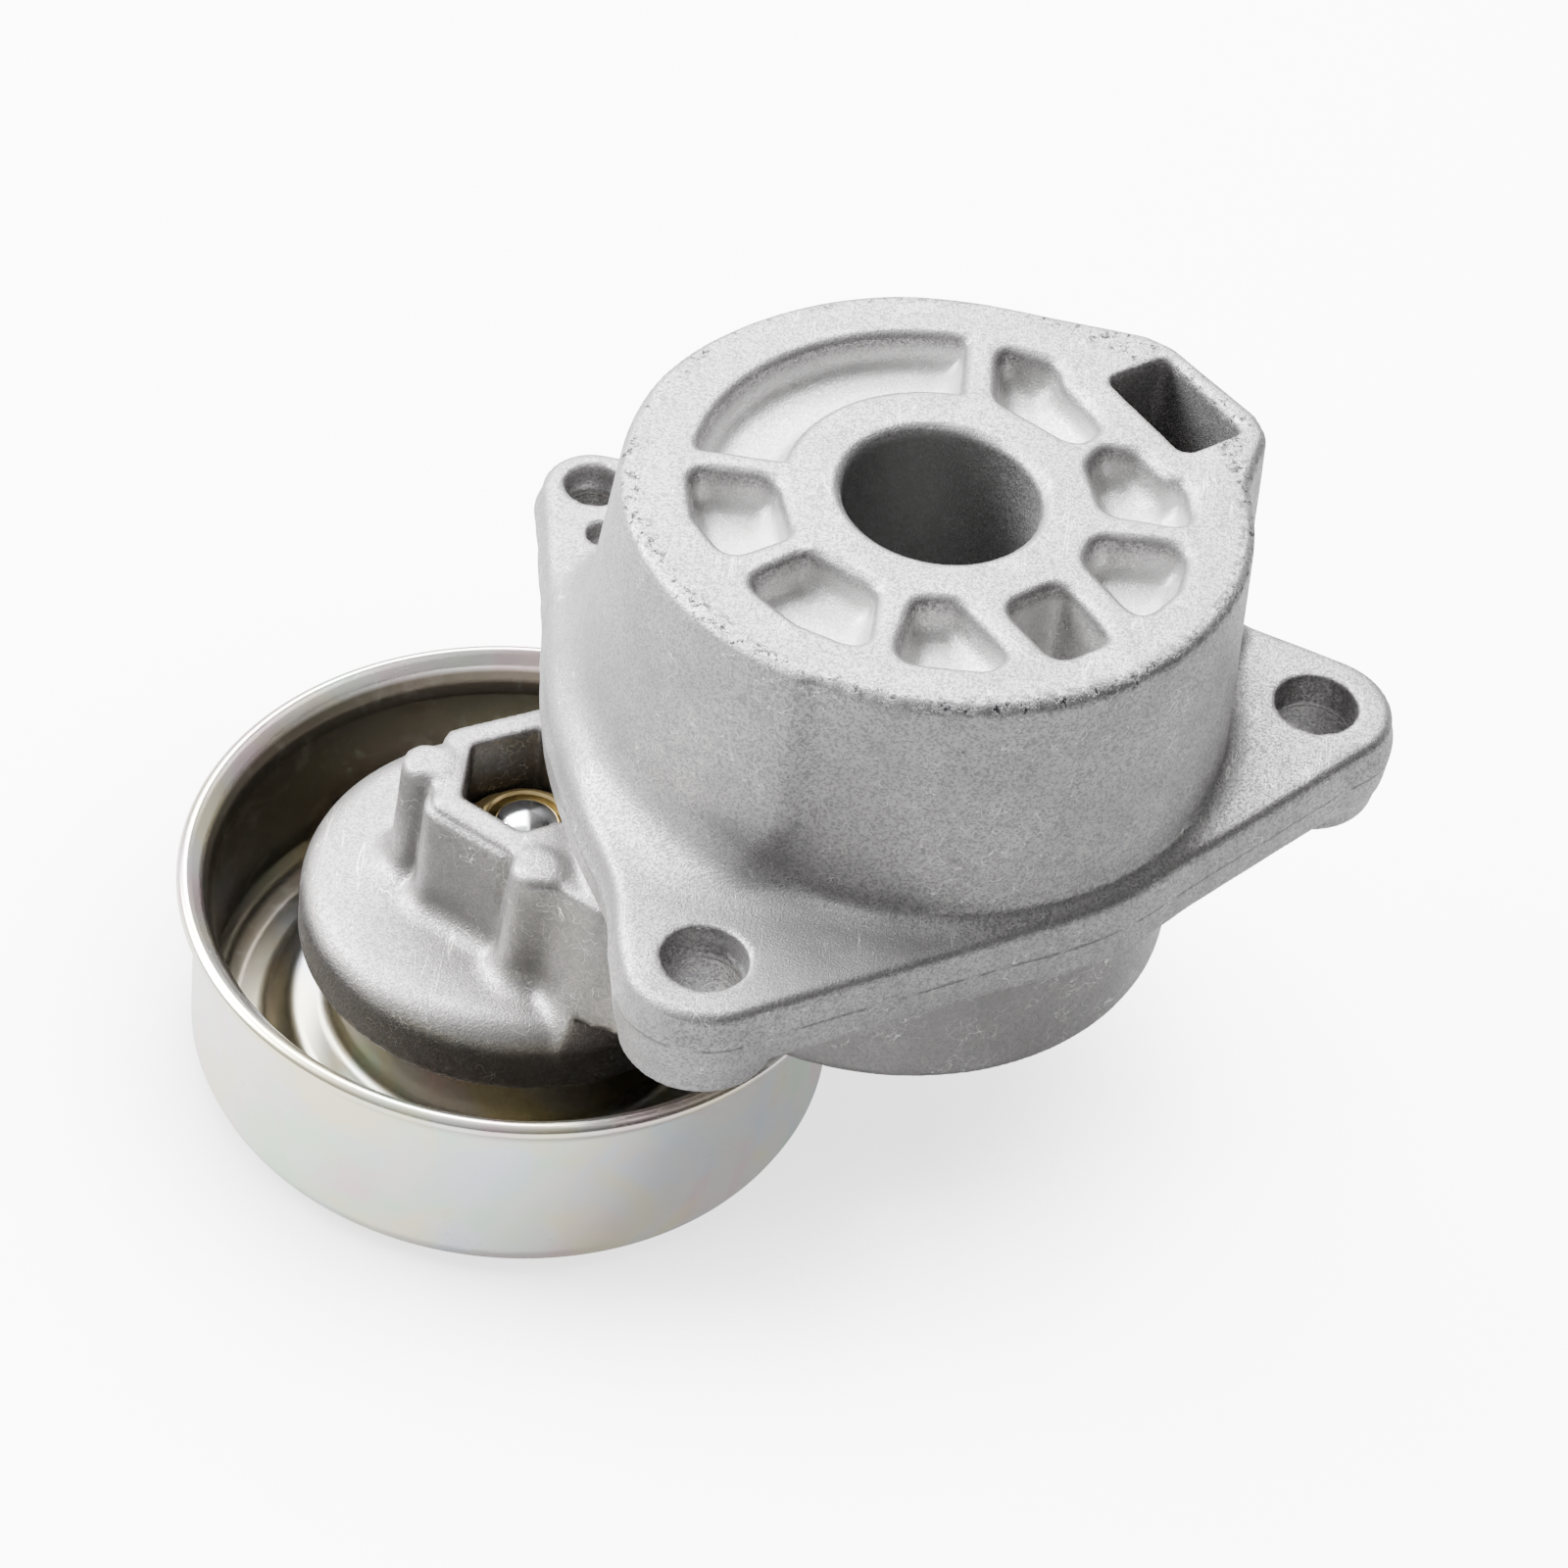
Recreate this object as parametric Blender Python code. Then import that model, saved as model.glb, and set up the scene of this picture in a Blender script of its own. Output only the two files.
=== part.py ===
"""Automatic belt tensioner with its idler pulley, modelled as an assembly.

The part is built in metres with +Z up. The origin is on the arm's pivot axis, in the plane of the three
flange ears that lie against the engine. +Z points into the engine, towards the spring housing's closed end,
and -Z points to the pulley. Lengths below are in millimetres and angles in degrees, and MM turns them into
metres where a mesh is made.
"""

import math

import bmesh
import bpy
from mathutils import Vector

MM = 0.001
GAP = 0.3                     # clearance that two neighbouring pieces keep

# Spring housing
HOUSING_TOP = 28.0
HOUSING_R = 32.0              # outer radius at the closed end
WALL_FLARE = 1.25             # how far the drafted wall widens down to the flange
FOOT_FLARE = 3.2              # how far the foot of the wall spreads into the flange
SKIRT_FLARE = 2.2             # extra width of the wall on the arm's side
CAVITY_TOP = 14.0
CAVITY_R = 29.0
HUB_R = 14.5
HUB_END = -2.0
BORE_R = 10.2
BORE_FLOOR = 8.0
SOCKET_R = 10.1
SOCKET_TOP = 5.5
POCKET_DEPTH = 4.5
DEEP_POCKET_DEPTH = 10.5
POCKET_INNER_R = 16.4
POCKET_OUTER_R = 25.4
SLOT_ANGLE = 39.5
SLOT_RADIUS = 29.9
SLOT_RADIAL = 8.0
SLOT_LENGTH = 13.4
SLOT_FLOOR = 2.0

# Flange and its ears: x, y, outline radius, hole radius
FLANGE_UNDER = -8.5
EAR_UNDER = -11.5
EAR_LEFT = (-36.6, 26.5, 5.6, 3.3)
EAR_FRONT = (-17.3, -42.4, 8.3, 4.35)
EAR_RIGHT = (42.8, 7.0, 8.2, 4.35)
PIN_HOLE = (-34.7, 18.8, 1.9)
FLANGE_R_BACK = 29.5
FLANGE_R_LEFT = 37.4
FLANGE_R_FRONT = 35.3

# Arm
AXIS_X, AXIS_Y = -38.5, -6.9  # pulley axis
DRUM_R = 30.65
DRUM_TOP = -9.1
DRUM_UNDER = -26.4
DRUM_WALL_R = 27.6
DRUM_FLOOR = -21.8
ARM_HUB_TOP = -4.2
ARM_BORE_R = 12.3
RECESS_R = 14.5
RECESS_TOP = -23.4
TOWER_TOP = -13.0
TOWER_R = 11.4                # across the corners of the hexagonal tower, halved
SHOULDER_TOP = -9.8
FLANK_LEAN = 4.0              # how far the web's front flank leans out at its foot
POST_TOP = -12.5
POST_R = 2.8
POSTS = ((-11.0, 0.4), (2.3, -13.1))
BOSS_R = 23.8
BOSS_TOP = -27.5
BOSS_UNDER = -36.0
HEX_POCKET_AF = 13.6
HEX_POCKET_FLOOR = -27.6
BOLT_HOLE_R = 4.3
REST_ANGLE = 190.0            # direction of the arm about the pivot
SWING = 45.0                  # travel away from the rest stop, clockwise seen from the engine

# Pulley
PULLEY_R = 35.0
PULLEY_LIP_R = 37.0
PULLEY_TOP = -27.6
PULLEY_UNDER = -52.1
SHEET = 1.9

# Bearing
BEARING_TOP = -36.9
BEARING_WIDTH = 10.0
BEARING_R = 17.5
BEARING_BORE_R = 8.5
PITCH_R = 13.0
BALL_R = 2.8
BALL_COUNT = 8
GROOVE_R = BALL_R + 0.35
LAND_OFFSET = 1.9             # from the pitch circle to each ring's land
BEARING_MID = BEARING_TOP - BEARING_WIDTH / 2
BEARING_UNDER = BEARING_TOP - BEARING_WIDTH

# Pivot
SHAFT_R = 9.8
SHAFT_SHOULDER = -24.7
BUSH_IN_R = SHAFT_R + GAP
BUSH_OUT_R = ARM_BORE_R - GAP

# Torsion spring
WIRE_R = 2.5
COIL_R = 21.5
COIL_TOP = 9.8
COIL_END = -18.6
COIL_TURNS = 5
TANG_R = 31.0
COIL_START = -5.0             # angle where the straight tang meets the coil
WIRE_SIDES = 6

FINISHES = {
    "cast_aluminium": ((0.60, 0.60, 0.61), 0.48, 0.85),
    "pulley_steel": ((0.72, 0.73, 0.70), 0.24, 1.0),
    "bearing_steel": ((0.62, 0.63, 0.65), 0.22, 1.0),
    "spring_steel": ((0.16, 0.17, 0.19), 0.38, 0.9),
    "yellow_zinc": ((0.62, 0.48, 0.22), 0.30, 1.0),
    "clear_zinc": ((0.78, 0.80, 0.82), 0.22, 1.0),
    "nylon": ((0.82, 0.79, 0.68), 0.50, 0.0),
    "seal_rubber": ((0.03, 0.03, 0.03), 0.60, 0.0),
    "bronze": ((0.55, 0.38, 0.18), 0.35, 1.0),
    "friction_plastic": ((0.10, 0.10, 0.11), 0.55, 0.0),
}


# ---------------------------------------------------------------- outlines and meshes

def polar(radius, angle, centre=(0.0, 0.0)):
    """Point at a radius and an angle in degrees about a centre."""
    turn = math.radians(angle)
    return (centre[0] + radius * math.cos(turn), centre[1] + radius * math.sin(turn))


def arc(radius, start, end, steps, centre=(0.0, 0.0)):
    """Points along an arc, both ends included."""
    return [polar(radius, start + (end - start) * i / steps, centre) for i in range(steps + 1)]


def circle(radius, steps, centre=(0.0, 0.0)):
    """Points round a full circle, anticlockwise."""
    return arc(radius, 0.0, 360.0, steps, centre)[:-1]


def rounded(corners, radius, steps=3):
    """Replace each corner of a closed outline that turns by more than 25 degrees with a small arc."""
    points = []
    count = len(corners)
    for i in range(count):
        here = Vector(corners[i])
        before = Vector(corners[i - 1]) - here
        after = Vector(corners[(i + 1) % count]) - here
        turn = math.pi - before.angle(after)
        if turn < math.radians(25):
            points.append(tuple(here))
            continue
        reach = min(radius * math.tan(turn / 2), 0.45 * before.length, 0.45 * after.length)
        first = here + before.normalized() * reach
        last = here + after.normalized() * reach
        for k in range(steps + 1):
            t = k / steps
            points.append(tuple(first * (1 - t) ** 2 + here * 2 * t * (1 - t) + last * t ** 2))
    return points


def offset(outline, distance):
    """Move each point of an anticlockwise outline outwards along its own normal."""
    moved = []
    count = len(outline)
    for i in range(count):
        along = Vector(outline[(i + 1) % count]) - Vector(outline[i - 1])
        normal = Vector((along.y, -along.x)).normalized()
        moved.append((outline[i][0] + normal.x * distance, outline[i][1] + normal.y * distance))
    return moved


def belt(circles):
    """Outline of a belt run anticlockwise round (x, y, radius) circles, with straight outer tangents."""
    count = len(circles)
    angles = []
    for i in range(count):
        x0, y0, r0 = circles[i]
        x1, y1, r1 = circles[(i + 1) % count]
        distance = math.hypot(x1 - x0, y1 - y0)
        heading = math.degrees(math.atan2(y1 - y0, x1 - x0)) if distance > 1e-6 else None
        lean = math.degrees(math.acos((r0 - r1) / distance)) if distance > 1e-6 else 0.0
        angles.append(heading - lean)
    outline = []
    for i in range(count):
        x, y, r = circles[i]
        start = angles[i - 1]
        sweep = (angles[i] - start) % 360.0
        outline += arc(r, start, start + sweep, max(2, round(sweep / 15)), (x, y))
    return outline


def add_object(name, points, faces, finish, parent=None, origin=(0.0, 0.0, 0.0)):
    """Make a closed mesh object from points in millimetres, with its faces pointing out."""
    mesh = bpy.data.meshes.new(name)
    base = Vector(origin)
    mesh.from_pydata([(Vector(p) - base) * MM for p in points], [], faces)
    shape = bmesh.new()
    shape.from_mesh(mesh)
    bmesh.ops.recalc_face_normals(shape, faces=shape.faces)
    shape.to_mesh(mesh)
    shape.free()
    mesh.shade_smooth()
    mesh.set_sharp_from_angle(angle=math.radians(32))
    item = bpy.data.objects.new(name, mesh)
    bpy.context.collection.objects.link(item)
    item.location = base * MM
    if finish:
        mesh.materials.append(material(finish))
    if parent:
        item.parent = parent
        item.matrix_parent_inverse = parent.matrix_world.inverted()
    return item


def material(finish):
    """The Principled material of a named finish, made once."""
    found = bpy.data.materials.get(finish)
    if found:
        return found
    colour, roughness, metallic = FINISHES[finish]
    made = bpy.data.materials.new(finish)
    made.use_nodes = True
    shader = made.node_tree.nodes["Principled BSDF"]
    shader.inputs["Base Color"].default_value = (*colour, 1.0)
    shader.inputs["Roughness"].default_value = roughness
    shader.inputs["Metallic"].default_value = metallic
    return made


def loft_data(rings):
    """Points and faces of a solid through rings of equal length, closed by a flat face at each end."""
    size = len(rings[0])
    points = [p for ring in rings for p in ring]
    faces = [tuple(range(size))[::-1], tuple(range(len(points) - size, len(points)))]
    for level in range(len(rings) - 1):
        for i in range(size):
            j = (i + 1) % size
            low = level * size
            faces.append((low + i, low + j, low + size + j, low + size + i))
    return points, faces


def prism_data(outline, bottom, top):
    """Points and faces of an outline extruded between two heights."""
    return loft_data([[(x, y, z) for x, y in outline] for z in (bottom, top)])


def lathe_data(profile, steps, centre=(0.0, 0.0)):
    """Points and faces of a closed (radius, height) profile turned about a vertical axis."""
    points, rows = [], []
    for radius, height in profile:
        if radius == 0.0:
            rows.append([len(points)] * steps)
            points.append((centre[0], centre[1], height))
        else:
            rows.append(list(range(len(points), len(points) + steps)))
            points += [(*p, height) for p in circle(radius, steps, centre)]
    faces = []
    for row, following in zip(rows, rows[1:] + rows[:1]):
        for i in range(steps):
            j = (i + 1) % steps
            corners = []
            for index in (row[i], row[j], following[j], following[i]):
                if index not in corners:
                    corners.append(index)
            if len(corners) > 2:
                faces.append(tuple(corners))
    return points, faces


def merged(*shapes):
    """Several (points, faces) shapes in one list, as separate bodies."""
    points, faces = [], []
    for more_points, more_faces in shapes:
        base = len(points)
        points += more_points
        faces += [tuple(base + i for i in face) for face in more_faces]
    return points, faces


def tool(name, shape):
    """A helper solid that is only used by a Boolean."""
    item = add_object(name, *shape, finish=None)
    item.hide_render = True
    item.display_type = "WIRE"
    return item


def combine(target, name, shape, operation):
    """Join a helper solid to a piece, or cut it away."""
    step = target.modifiers.new(name, "BOOLEAN")
    step.operation = operation
    step.solver = "EXACT"
    step.object = tool(name, shape)


def empty(name, location):
    """An empty that stands on a joint axis."""
    item = bpy.data.objects.new(name, None)
    item.location = Vector(location) * MM
    bpy.context.collection.objects.link(item)
    bpy.context.view_layer.update()
    return item


# ---------------------------------------------------------------- housing

def housing_outline():
    """The closed end's outline: a circle with the lobe that holds the spring slot."""
    lobe = [(31.0, 8.2), (32.9, 16.2), (31.6, 19.4), (22.6, 28.7), (19.6, 30.2)]
    return rounded(lobe + arc(HOUSING_R, 84, 368, 40), 3.0, 2)


def skirt(x, y, height):
    """Extra width of the wall at a place: the side that faces the arm has more draft."""
    angle = math.degrees(math.atan2(y, x)) % 360.0
    side = min(max((252.0 - angle) / 10.0, 0.0), 1.0) * min(max((angle - 128.0) / 30.0, 0.0), 1.0)
    drop = min(max((25.0 - height) / 25.0, 0.0), 1.0)
    return SKIRT_FLARE * side * drop ** 0.9


def housing_body():
    """The drafted wall of the spring housing, from its rounded top edge to its foot in the flange."""
    levels = [(FLANGE_UNDER + 0.2, FOOT_FLARE), (-0.5, FOOT_FLARE), (0.3, FOOT_FLARE - 0.6),
              (1.2, WALL_FLARE + 0.6), (2.8, WALL_FLARE), (14.0, WALL_FLARE / 2),
              (HOUSING_TOP - 1.0, 0.0), (HOUSING_TOP, -0.9)]
    outline = housing_outline()
    rings = []
    for height, spread in levels:
        ring = offset(outline, spread)
        rings.append([(*wider(x, y, skirt(x, y, max(height, 0.0))), height) for x, y in ring])
    return loft_data(rings)


def wider(x, y, distance):
    """Move a point away from the pivot axis."""
    scale = 1.0 + distance / math.hypot(x, y)
    return x * scale, y * scale


def flange_plate():
    """The three-eared flange, with a slightly drafted edge that is widest at the die's parting line."""
    outline = belt([EAR_RIGHT[:3], (0.0, 0.0, FLANGE_R_BACK), EAR_LEFT[:3], (0.0, 0.0, FLANGE_R_LEFT),
                    EAR_FRONT[:3], (0.0, 0.0, FLANGE_R_FRONT)])
    levels = [(FLANGE_UNDER, -0.3), (FLANGE_UNDER / 2, 0.3), (-0.8, 0.0), (0.0, -0.8)]
    return loft_data([[(x, y, z) for x, y in offset(outline, spread)] for z, spread in levels])


def ear_pad(ear):
    """The round pad under an ear, where the bolt head sits."""
    x, y, radius, _ = ear
    levels = [(EAR_UNDER, radius - 0.8), (EAR_UNDER + 0.8, radius - 0.1), (-2.0, radius - 0.1)]
    return loft_data([[(*p, z) for p in circle(r, 24, (x, y))] for z, r in levels])


def pocket(corners, depth, radius=1.7):
    """A core pocket in the closed end, drafted and with rounded corners."""
    outline = rounded(corners, radius, 2)
    floor = HOUSING_TOP - depth
    levels = [(floor, -1.4), (floor + 1.2, -0.4), (HOUSING_TOP + 1.0, 0.05)]
    return loft_data([[(x, y, z) for x, y in offset(outline, spread)] for z, spread in levels])


def pocket_shapes():
    """The long curved pocket and the seven short ones round the bore."""
    long_end = math.degrees(math.acos(1.0 / POCKET_OUTER_R))
    long_start = math.degrees(math.acos(1.0 / POCKET_INNER_R))
    far_out = 180.0 - math.degrees(math.asin(2.0 / POCKET_OUTER_R))
    far_in = 180.0 - math.degrees(math.asin(2.0 / POCKET_INNER_R))
    curved = arc(POCKET_OUTER_R, long_end, far_out, 8) + arc(POCKET_INNER_R, far_in, long_start, 5)
    short = [
        [(-26.0, -1.0), (-24.4, -8.8), (-20.6, -14.2), (-14.3, -9.2), (-16.6, -0.9)],
        [(-18.8, -17.2), (-12.7, -22.4), (-5.5, -25.0), (-5.0, -15.5), (-12.4, -11.2)],
        [(-3.0, -25.9), (6.4, -25.4), (8.7, -22.6), (3.1, -15.7), (-1.6, -16.3)],
        [(21.0, -15.4), (24.6, -9.5), (25.8, -2.7), (15.8, -3.2), (14.8, -7.4)],
        [(16.6, 0.4), (25.9, 0.0), (24.7, 6.9), (22.6, 7.3), (19.6, 10.8), (15.9, 11.0), (14.4, 7.6)],
        [(13.2, 10.4), (16.0, 14.2), (11.4, 20.4), (10.6, 23.5), (4.0, 25.2), (4.5, 16.0)],
    ]
    deep = [(13.0, -22.9), (18.6, -18.3), (13.0, -10.6), (7.2, -15.9)]
    shapes = [pocket(curved, POCKET_DEPTH, 2.2), pocket(deep, DEEP_POCKET_DEPTH, 1.6)]
    return shapes + [pocket(corners, POCKET_DEPTH) for corners in short]


def slot_shape():
    """The rectangular slot in the lobe that takes the spring's tang."""
    out = Vector(polar(1.0, SLOT_ANGLE))
    side = Vector((-out.y, out.x))
    centre = out * SLOT_RADIUS
    half, reach = SLOT_RADIAL / 2, SLOT_LENGTH / 2
    corners = [tuple(centre + out * a + side * b)
               for a, b in ((-half, -reach), (half, -reach), (half, reach), (-half, reach))]
    return prism_data(rounded(corners, 1.2, 1), SLOT_FLOOR, HOUSING_TOP + 1.0)


def bore_shape():
    """The blind bore in the closed end, with a chamfered mouth."""
    profile = [(0.0, HOUSING_TOP + 1.0), (BORE_R + 1.8, HOUSING_TOP + 1.0), (BORE_R, HOUSING_TOP - 0.8),
               (BORE_R, BORE_FLOOR), (0.0, BORE_FLOOR)]
    return lathe_data(profile, 32)


def hole_shape(x, y, radius):
    """A straight hole through an ear."""
    return prism_data(circle(radius, 16, (x, y)), EAR_UNDER - 1.0, 1.0)


def spring_cavity():
    """The space for the spring, open below, with the socket for the pivot shaft in its hub."""
    under = FLANGE_UNDER - 1.0
    profile = [(0.0, SOCKET_TOP), (SOCKET_R, SOCKET_TOP), (SOCKET_R, HUB_END), (HUB_R + 0.2, HUB_END),
               (HUB_R, CAVITY_TOP), (CAVITY_R, CAVITY_TOP), (CAVITY_R + 0.3, under), (0.0, under)]
    return lathe_data(profile, 36)


def ring_sector(inner, outer, start, end, bottom, top, steps):
    """Points and faces of a block bent round the pivot axis."""
    outline = arc(outer, start, end, steps) + arc(inner, end, start, steps)
    return prism_data(outline, bottom, top)


def make_housing():
    """The die-cast housing that carries the whole tensioner."""
    housing = add_object("housing", *housing_body(), finish="cast_aluminium")
    combine(housing, "flange_plate", flange_plate(), "UNION")
    combine(housing, "ear_pads", merged(*[ear_pad(e) for e in (EAR_LEFT, EAR_FRONT, EAR_RIGHT)]), "UNION")
    combine(housing, "spring_cavity", spring_cavity(), "DIFFERENCE")
    holes = [hole_shape(x, y, r) for x, y, _, r in (EAR_LEFT, EAR_FRONT, EAR_RIGHT)] + [hole_shape(*PIN_HOLE)]
    combine(housing, "top_cores", merged(bore_shape(), slot_shape(), *pocket_shapes(), *holes), "DIFFERENCE")
    groove = ring_sector(CAVITY_R - 2.0, 31.2, REST_ANGLE - SWING - 7.0, REST_ANGLE + 6.0,
                         FLANGE_UNDER - 1.0, -3.4, 8)
    combine(housing, "stop_groove", groove, "DIFFERENCE")


# ---------------------------------------------------------------- pivot, spring and damping

def make_pivot():
    """The shaft pressed into the housing and the plate riveted to its free end."""
    shaft = [(0.0, SOCKET_TOP - GAP), (SHAFT_R - 0.6, SOCKET_TOP - GAP), (SHAFT_R, SOCKET_TOP - 0.9),
             (SHAFT_R, SHAFT_SHOULDER), (6.0, SHAFT_SHOULDER), (6.0, -25.7), (6.9, DRUM_UNDER),
             (0.0, DRUM_UNDER)]
    add_object("pivot_shaft", *lathe_data(shaft, 28), finish="bearing_steel")
    plate = [(6.3, SHAFT_SHOULDER - GAP), (14.2, SHAFT_SHOULDER - GAP), (14.2, DRUM_UNDER + 0.4),
             (13.8, DRUM_UNDER), (7.3, DRUM_UNDER), (6.3, -25.5)]
    add_object("retaining_plate", *lathe_data(plate, 28), finish="clear_zinc")


def coil_path():
    """Points along the wire: the straight tang in the slot, then the coil down to its cut end."""
    reach = math.degrees(math.acos(COIL_R / TANG_R))
    contact = Vector((*polar(COIL_R, COIL_START), COIL_TOP))
    tip = Vector((*polar(TANG_R, COIL_START + reach), COIL_TOP))
    points = [tip, tip.lerp(contact, 0.5)]
    steps = COIL_TURNS * 16
    for i in range(steps + 1):
        angle = COIL_START - 360.0 * COIL_TURNS * i / steps
        height = COIL_TOP + (COIL_END - COIL_TOP) * i / steps
        points.append(Vector((*polar(COIL_R, angle), height)))
    return points


def make_spring():
    """The torsion spring, its liner, its seat, and the damper shoe that rubs in the liner."""
    path = coil_path()
    rings = []
    for i, point in enumerate(path):
        along = (path[min(i + 1, len(path) - 1)] - path[max(i - 1, 0)]).normalized()
        across = along.cross(Vector((0.0, 0.0, 1.0))).normalized()
        upward = across.cross(along)
        ring = []
        for k in range(WIRE_SIDES):
            turn = math.tau * k / WIRE_SIDES
            ring.append(tuple(point + (across * math.cos(turn) + upward * math.sin(turn)) * WIRE_R))
        rings.append(ring)
    add_object("torsion_spring", *loft_data(rings), finish="spring_steel")

    seat = [(18.5, CAVITY_TOP - 1.4), (24.5, CAVITY_TOP - 1.4), (24.5, CAVITY_TOP - GAP),
            (18.5, CAVITY_TOP - GAP)]
    add_object("spring_seat", *lathe_data(seat, 28), finish="nylon")
    liner = ring_sector(26.0, 28.6, SLOT_ANGLE + 11.0, SLOT_ANGLE + 338.0, -3.0, CAVITY_TOP - 0.6, 24)
    add_object("spring_liner", *liner, finish="nylon")


def make_damper(parent):
    """The curved friction shoe that the arm carries round inside the liner."""
    shoe = ring_sector(24.5, 25.7, 110.0, 250.0, DRUM_FLOOR + 0.4, -0.5, 10)
    add_object("damper_shoe", *shoe, finish="friction_plastic", parent=parent)


def make_bushes(parent):
    """The two flanged bushes that turn on the shaft."""
    upper_flange = ARM_HUB_TOP + GAP
    upper = [(BUSH_IN_R, HUB_END - GAP), (HUB_R - 0.1, HUB_END - GAP), (HUB_R - 0.1, upper_flange),
             (BUSH_OUT_R, upper_flange), (BUSH_OUT_R, -13.4), (BUSH_IN_R, -13.4)]
    add_object("upper_bush", *lathe_data(upper, 28), finish="bronze", parent=parent)
    lower = [(BUSH_IN_R, -14.0), (BUSH_OUT_R, -14.0), (BUSH_OUT_R, RECESS_TOP - GAP),
             (RECESS_R - 0.4, RECESS_TOP - GAP), (RECESS_R - 0.4, -24.7), (BUSH_IN_R, -24.7)]
    add_object("lower_bush", *lathe_data(lower, 28), finish="bronze", parent=parent)


# ---------------------------------------------------------------- arm

def drum_profile():
    """Section of the arm's drum: its wall, floor, hub tube and the recess for the retaining plate."""
    return [(DRUM_R - 0.6, DRUM_TOP), (DRUM_R, DRUM_TOP - 0.6), (DRUM_R, DRUM_UNDER + 1.2),
            (DRUM_R - 1.2, DRUM_UNDER), (RECESS_R, DRUM_UNDER),
            (RECESS_R, RECESS_TOP), (ARM_BORE_R, RECESS_TOP), (ARM_BORE_R, ARM_HUB_TOP),
            (RECESS_R, ARM_HUB_TOP), (RECESS_R + 0.5, DRUM_FLOOR), (DRUM_WALL_R - 0.3, DRUM_FLOOR),
            (DRUM_WALL_R, DRUM_TOP)]


def boss_shape():
    """The round boss that covers the bearing, with a well-rounded upper edge."""
    profile = [(0.0, BOSS_TOP), (BOSS_R - 2.8, BOSS_TOP), (BOSS_R - 0.8, BOSS_TOP - 1.0),
               (BOSS_R, BOSS_TOP - 3.2), (BOSS_R, BOSS_UNDER), (11.8, BOSS_UNDER),
               (11.8, BEARING_TOP + GAP), (0.0, BEARING_TOP + GAP)]
    return lathe_data(profile, 40, (AXIS_X, AXIS_Y))


def neck_shape():
    """The lens-shaped stretch where the boss joins the underside of the drum."""
    reach, inner = BOSS_R - 0.6, DRUM_R - 0.7
    distance = math.hypot(AXIS_X, AXIS_Y)
    heading = math.degrees(math.atan2(AXIS_Y, AXIS_X))
    from_pivot = math.degrees(math.acos((distance ** 2 + inner ** 2 - reach ** 2) / (2 * distance * inner)))
    from_axis = math.degrees(math.acos((distance ** 2 + reach ** 2 - inner ** 2) / (2 * distance * reach)))
    outline = arc(inner, heading - from_pivot, heading + from_pivot, 5)
    back = arc(reach, heading + 180.0 - from_axis, heading + 180.0 + from_axis, 6, (AXIS_X, AXIS_Y))
    return prism_data(outline + back[1:-1], BOSS_TOP - 1.5, DRUM_UNDER + 1.0)


def leaning(x, y, height):
    """Move a point of the web's front flank out, more towards its foot."""
    share = min(max((x - AXIS_X - 1.5) / 3.5, 0.0), 1.0) * min(max((-16.0 - y) / 4.0, 0.0), 1.0)
    return x, y - FLANK_LEAN * share * (TOWER_TOP - height) / (TOWER_TOP - BOSS_TOP)


def web_shape():
    """The deep web with the hexagonal tower that joins the drum to the boss."""
    tower = [polar(TOWER_R, a, (AXIS_X, AXIS_Y)) for a in (90.0, 150.0, 210.0, 270.0)]
    flank = [(-35.6, -22.0), (-33.3, -22.6), (-29.1, -25.2), (-22.5, -26.6), (-14.8, -26.6)]
    drum_side = arc(DRUM_R - 1.6, 240.5, 145.0, 6)
    outline = rounded(tower + flank + drum_side + [(-31.5, 12.0)], 2.0, 2)
    levels = [(DRUM_UNDER + 0.8, 0.4), (TOWER_TOP - 0.6, 0.0), (TOWER_TOP, -0.5)]
    rings = [[(*leaning(x, y, z), z) for x, y in offset(outline, spread)] for z, spread in levels]
    foot = []
    for x, y in offset(outline, 0.5):
        lean_x, lean_y = leaning(x, y, BOSS_TOP - 1.5)
        reach = Vector((lean_x - AXIS_X, lean_y - AXIS_Y))
        reach *= min(1.0, (BOSS_R - 1.0) / reach.length)
        foot.append((AXIS_X + reach.x, AXIS_Y + reach.y, BOSS_TOP - 1.5))
    return loft_data([foot] + rings)


def shoulder_shape():
    """The raised step of the web beside the drum."""
    outline = [(-33.3, -10.8), (-30.0, -22.6), (-26.5, -24.8), (-22.0, -20.5), (-25.5, -15.0), (-28.3, -9.0)]
    return prism_data(rounded(outline, 1.5, 2), TOWER_TOP - 1.5, SHOULDER_TOP)


def post_shape(x, y):
    """A round ejector post on the tower, with a shallow raised disc on its end."""
    place = (AXIS_X + x, AXIS_Y + y)
    levels = [(BOSS_TOP - 1.2, POST_R + 0.5), (TOWER_TOP + 0.1, POST_R), (TOWER_TOP + 0.1, POST_R - 0.45),
              (POST_TOP, POST_R - 0.5)]
    return loft_data([[(*p, z) for p in circle(r, 12, place)] for z, r in levels])


def hexagon(across_flats):
    """Corners of a hexagon on the pulley axis with its flats facing along X."""
    return [polar(across_flats / math.sqrt(3.0), 30.0 + 60.0 * i, (AXIS_X, AXIS_Y)) for i in range(6)]


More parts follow.
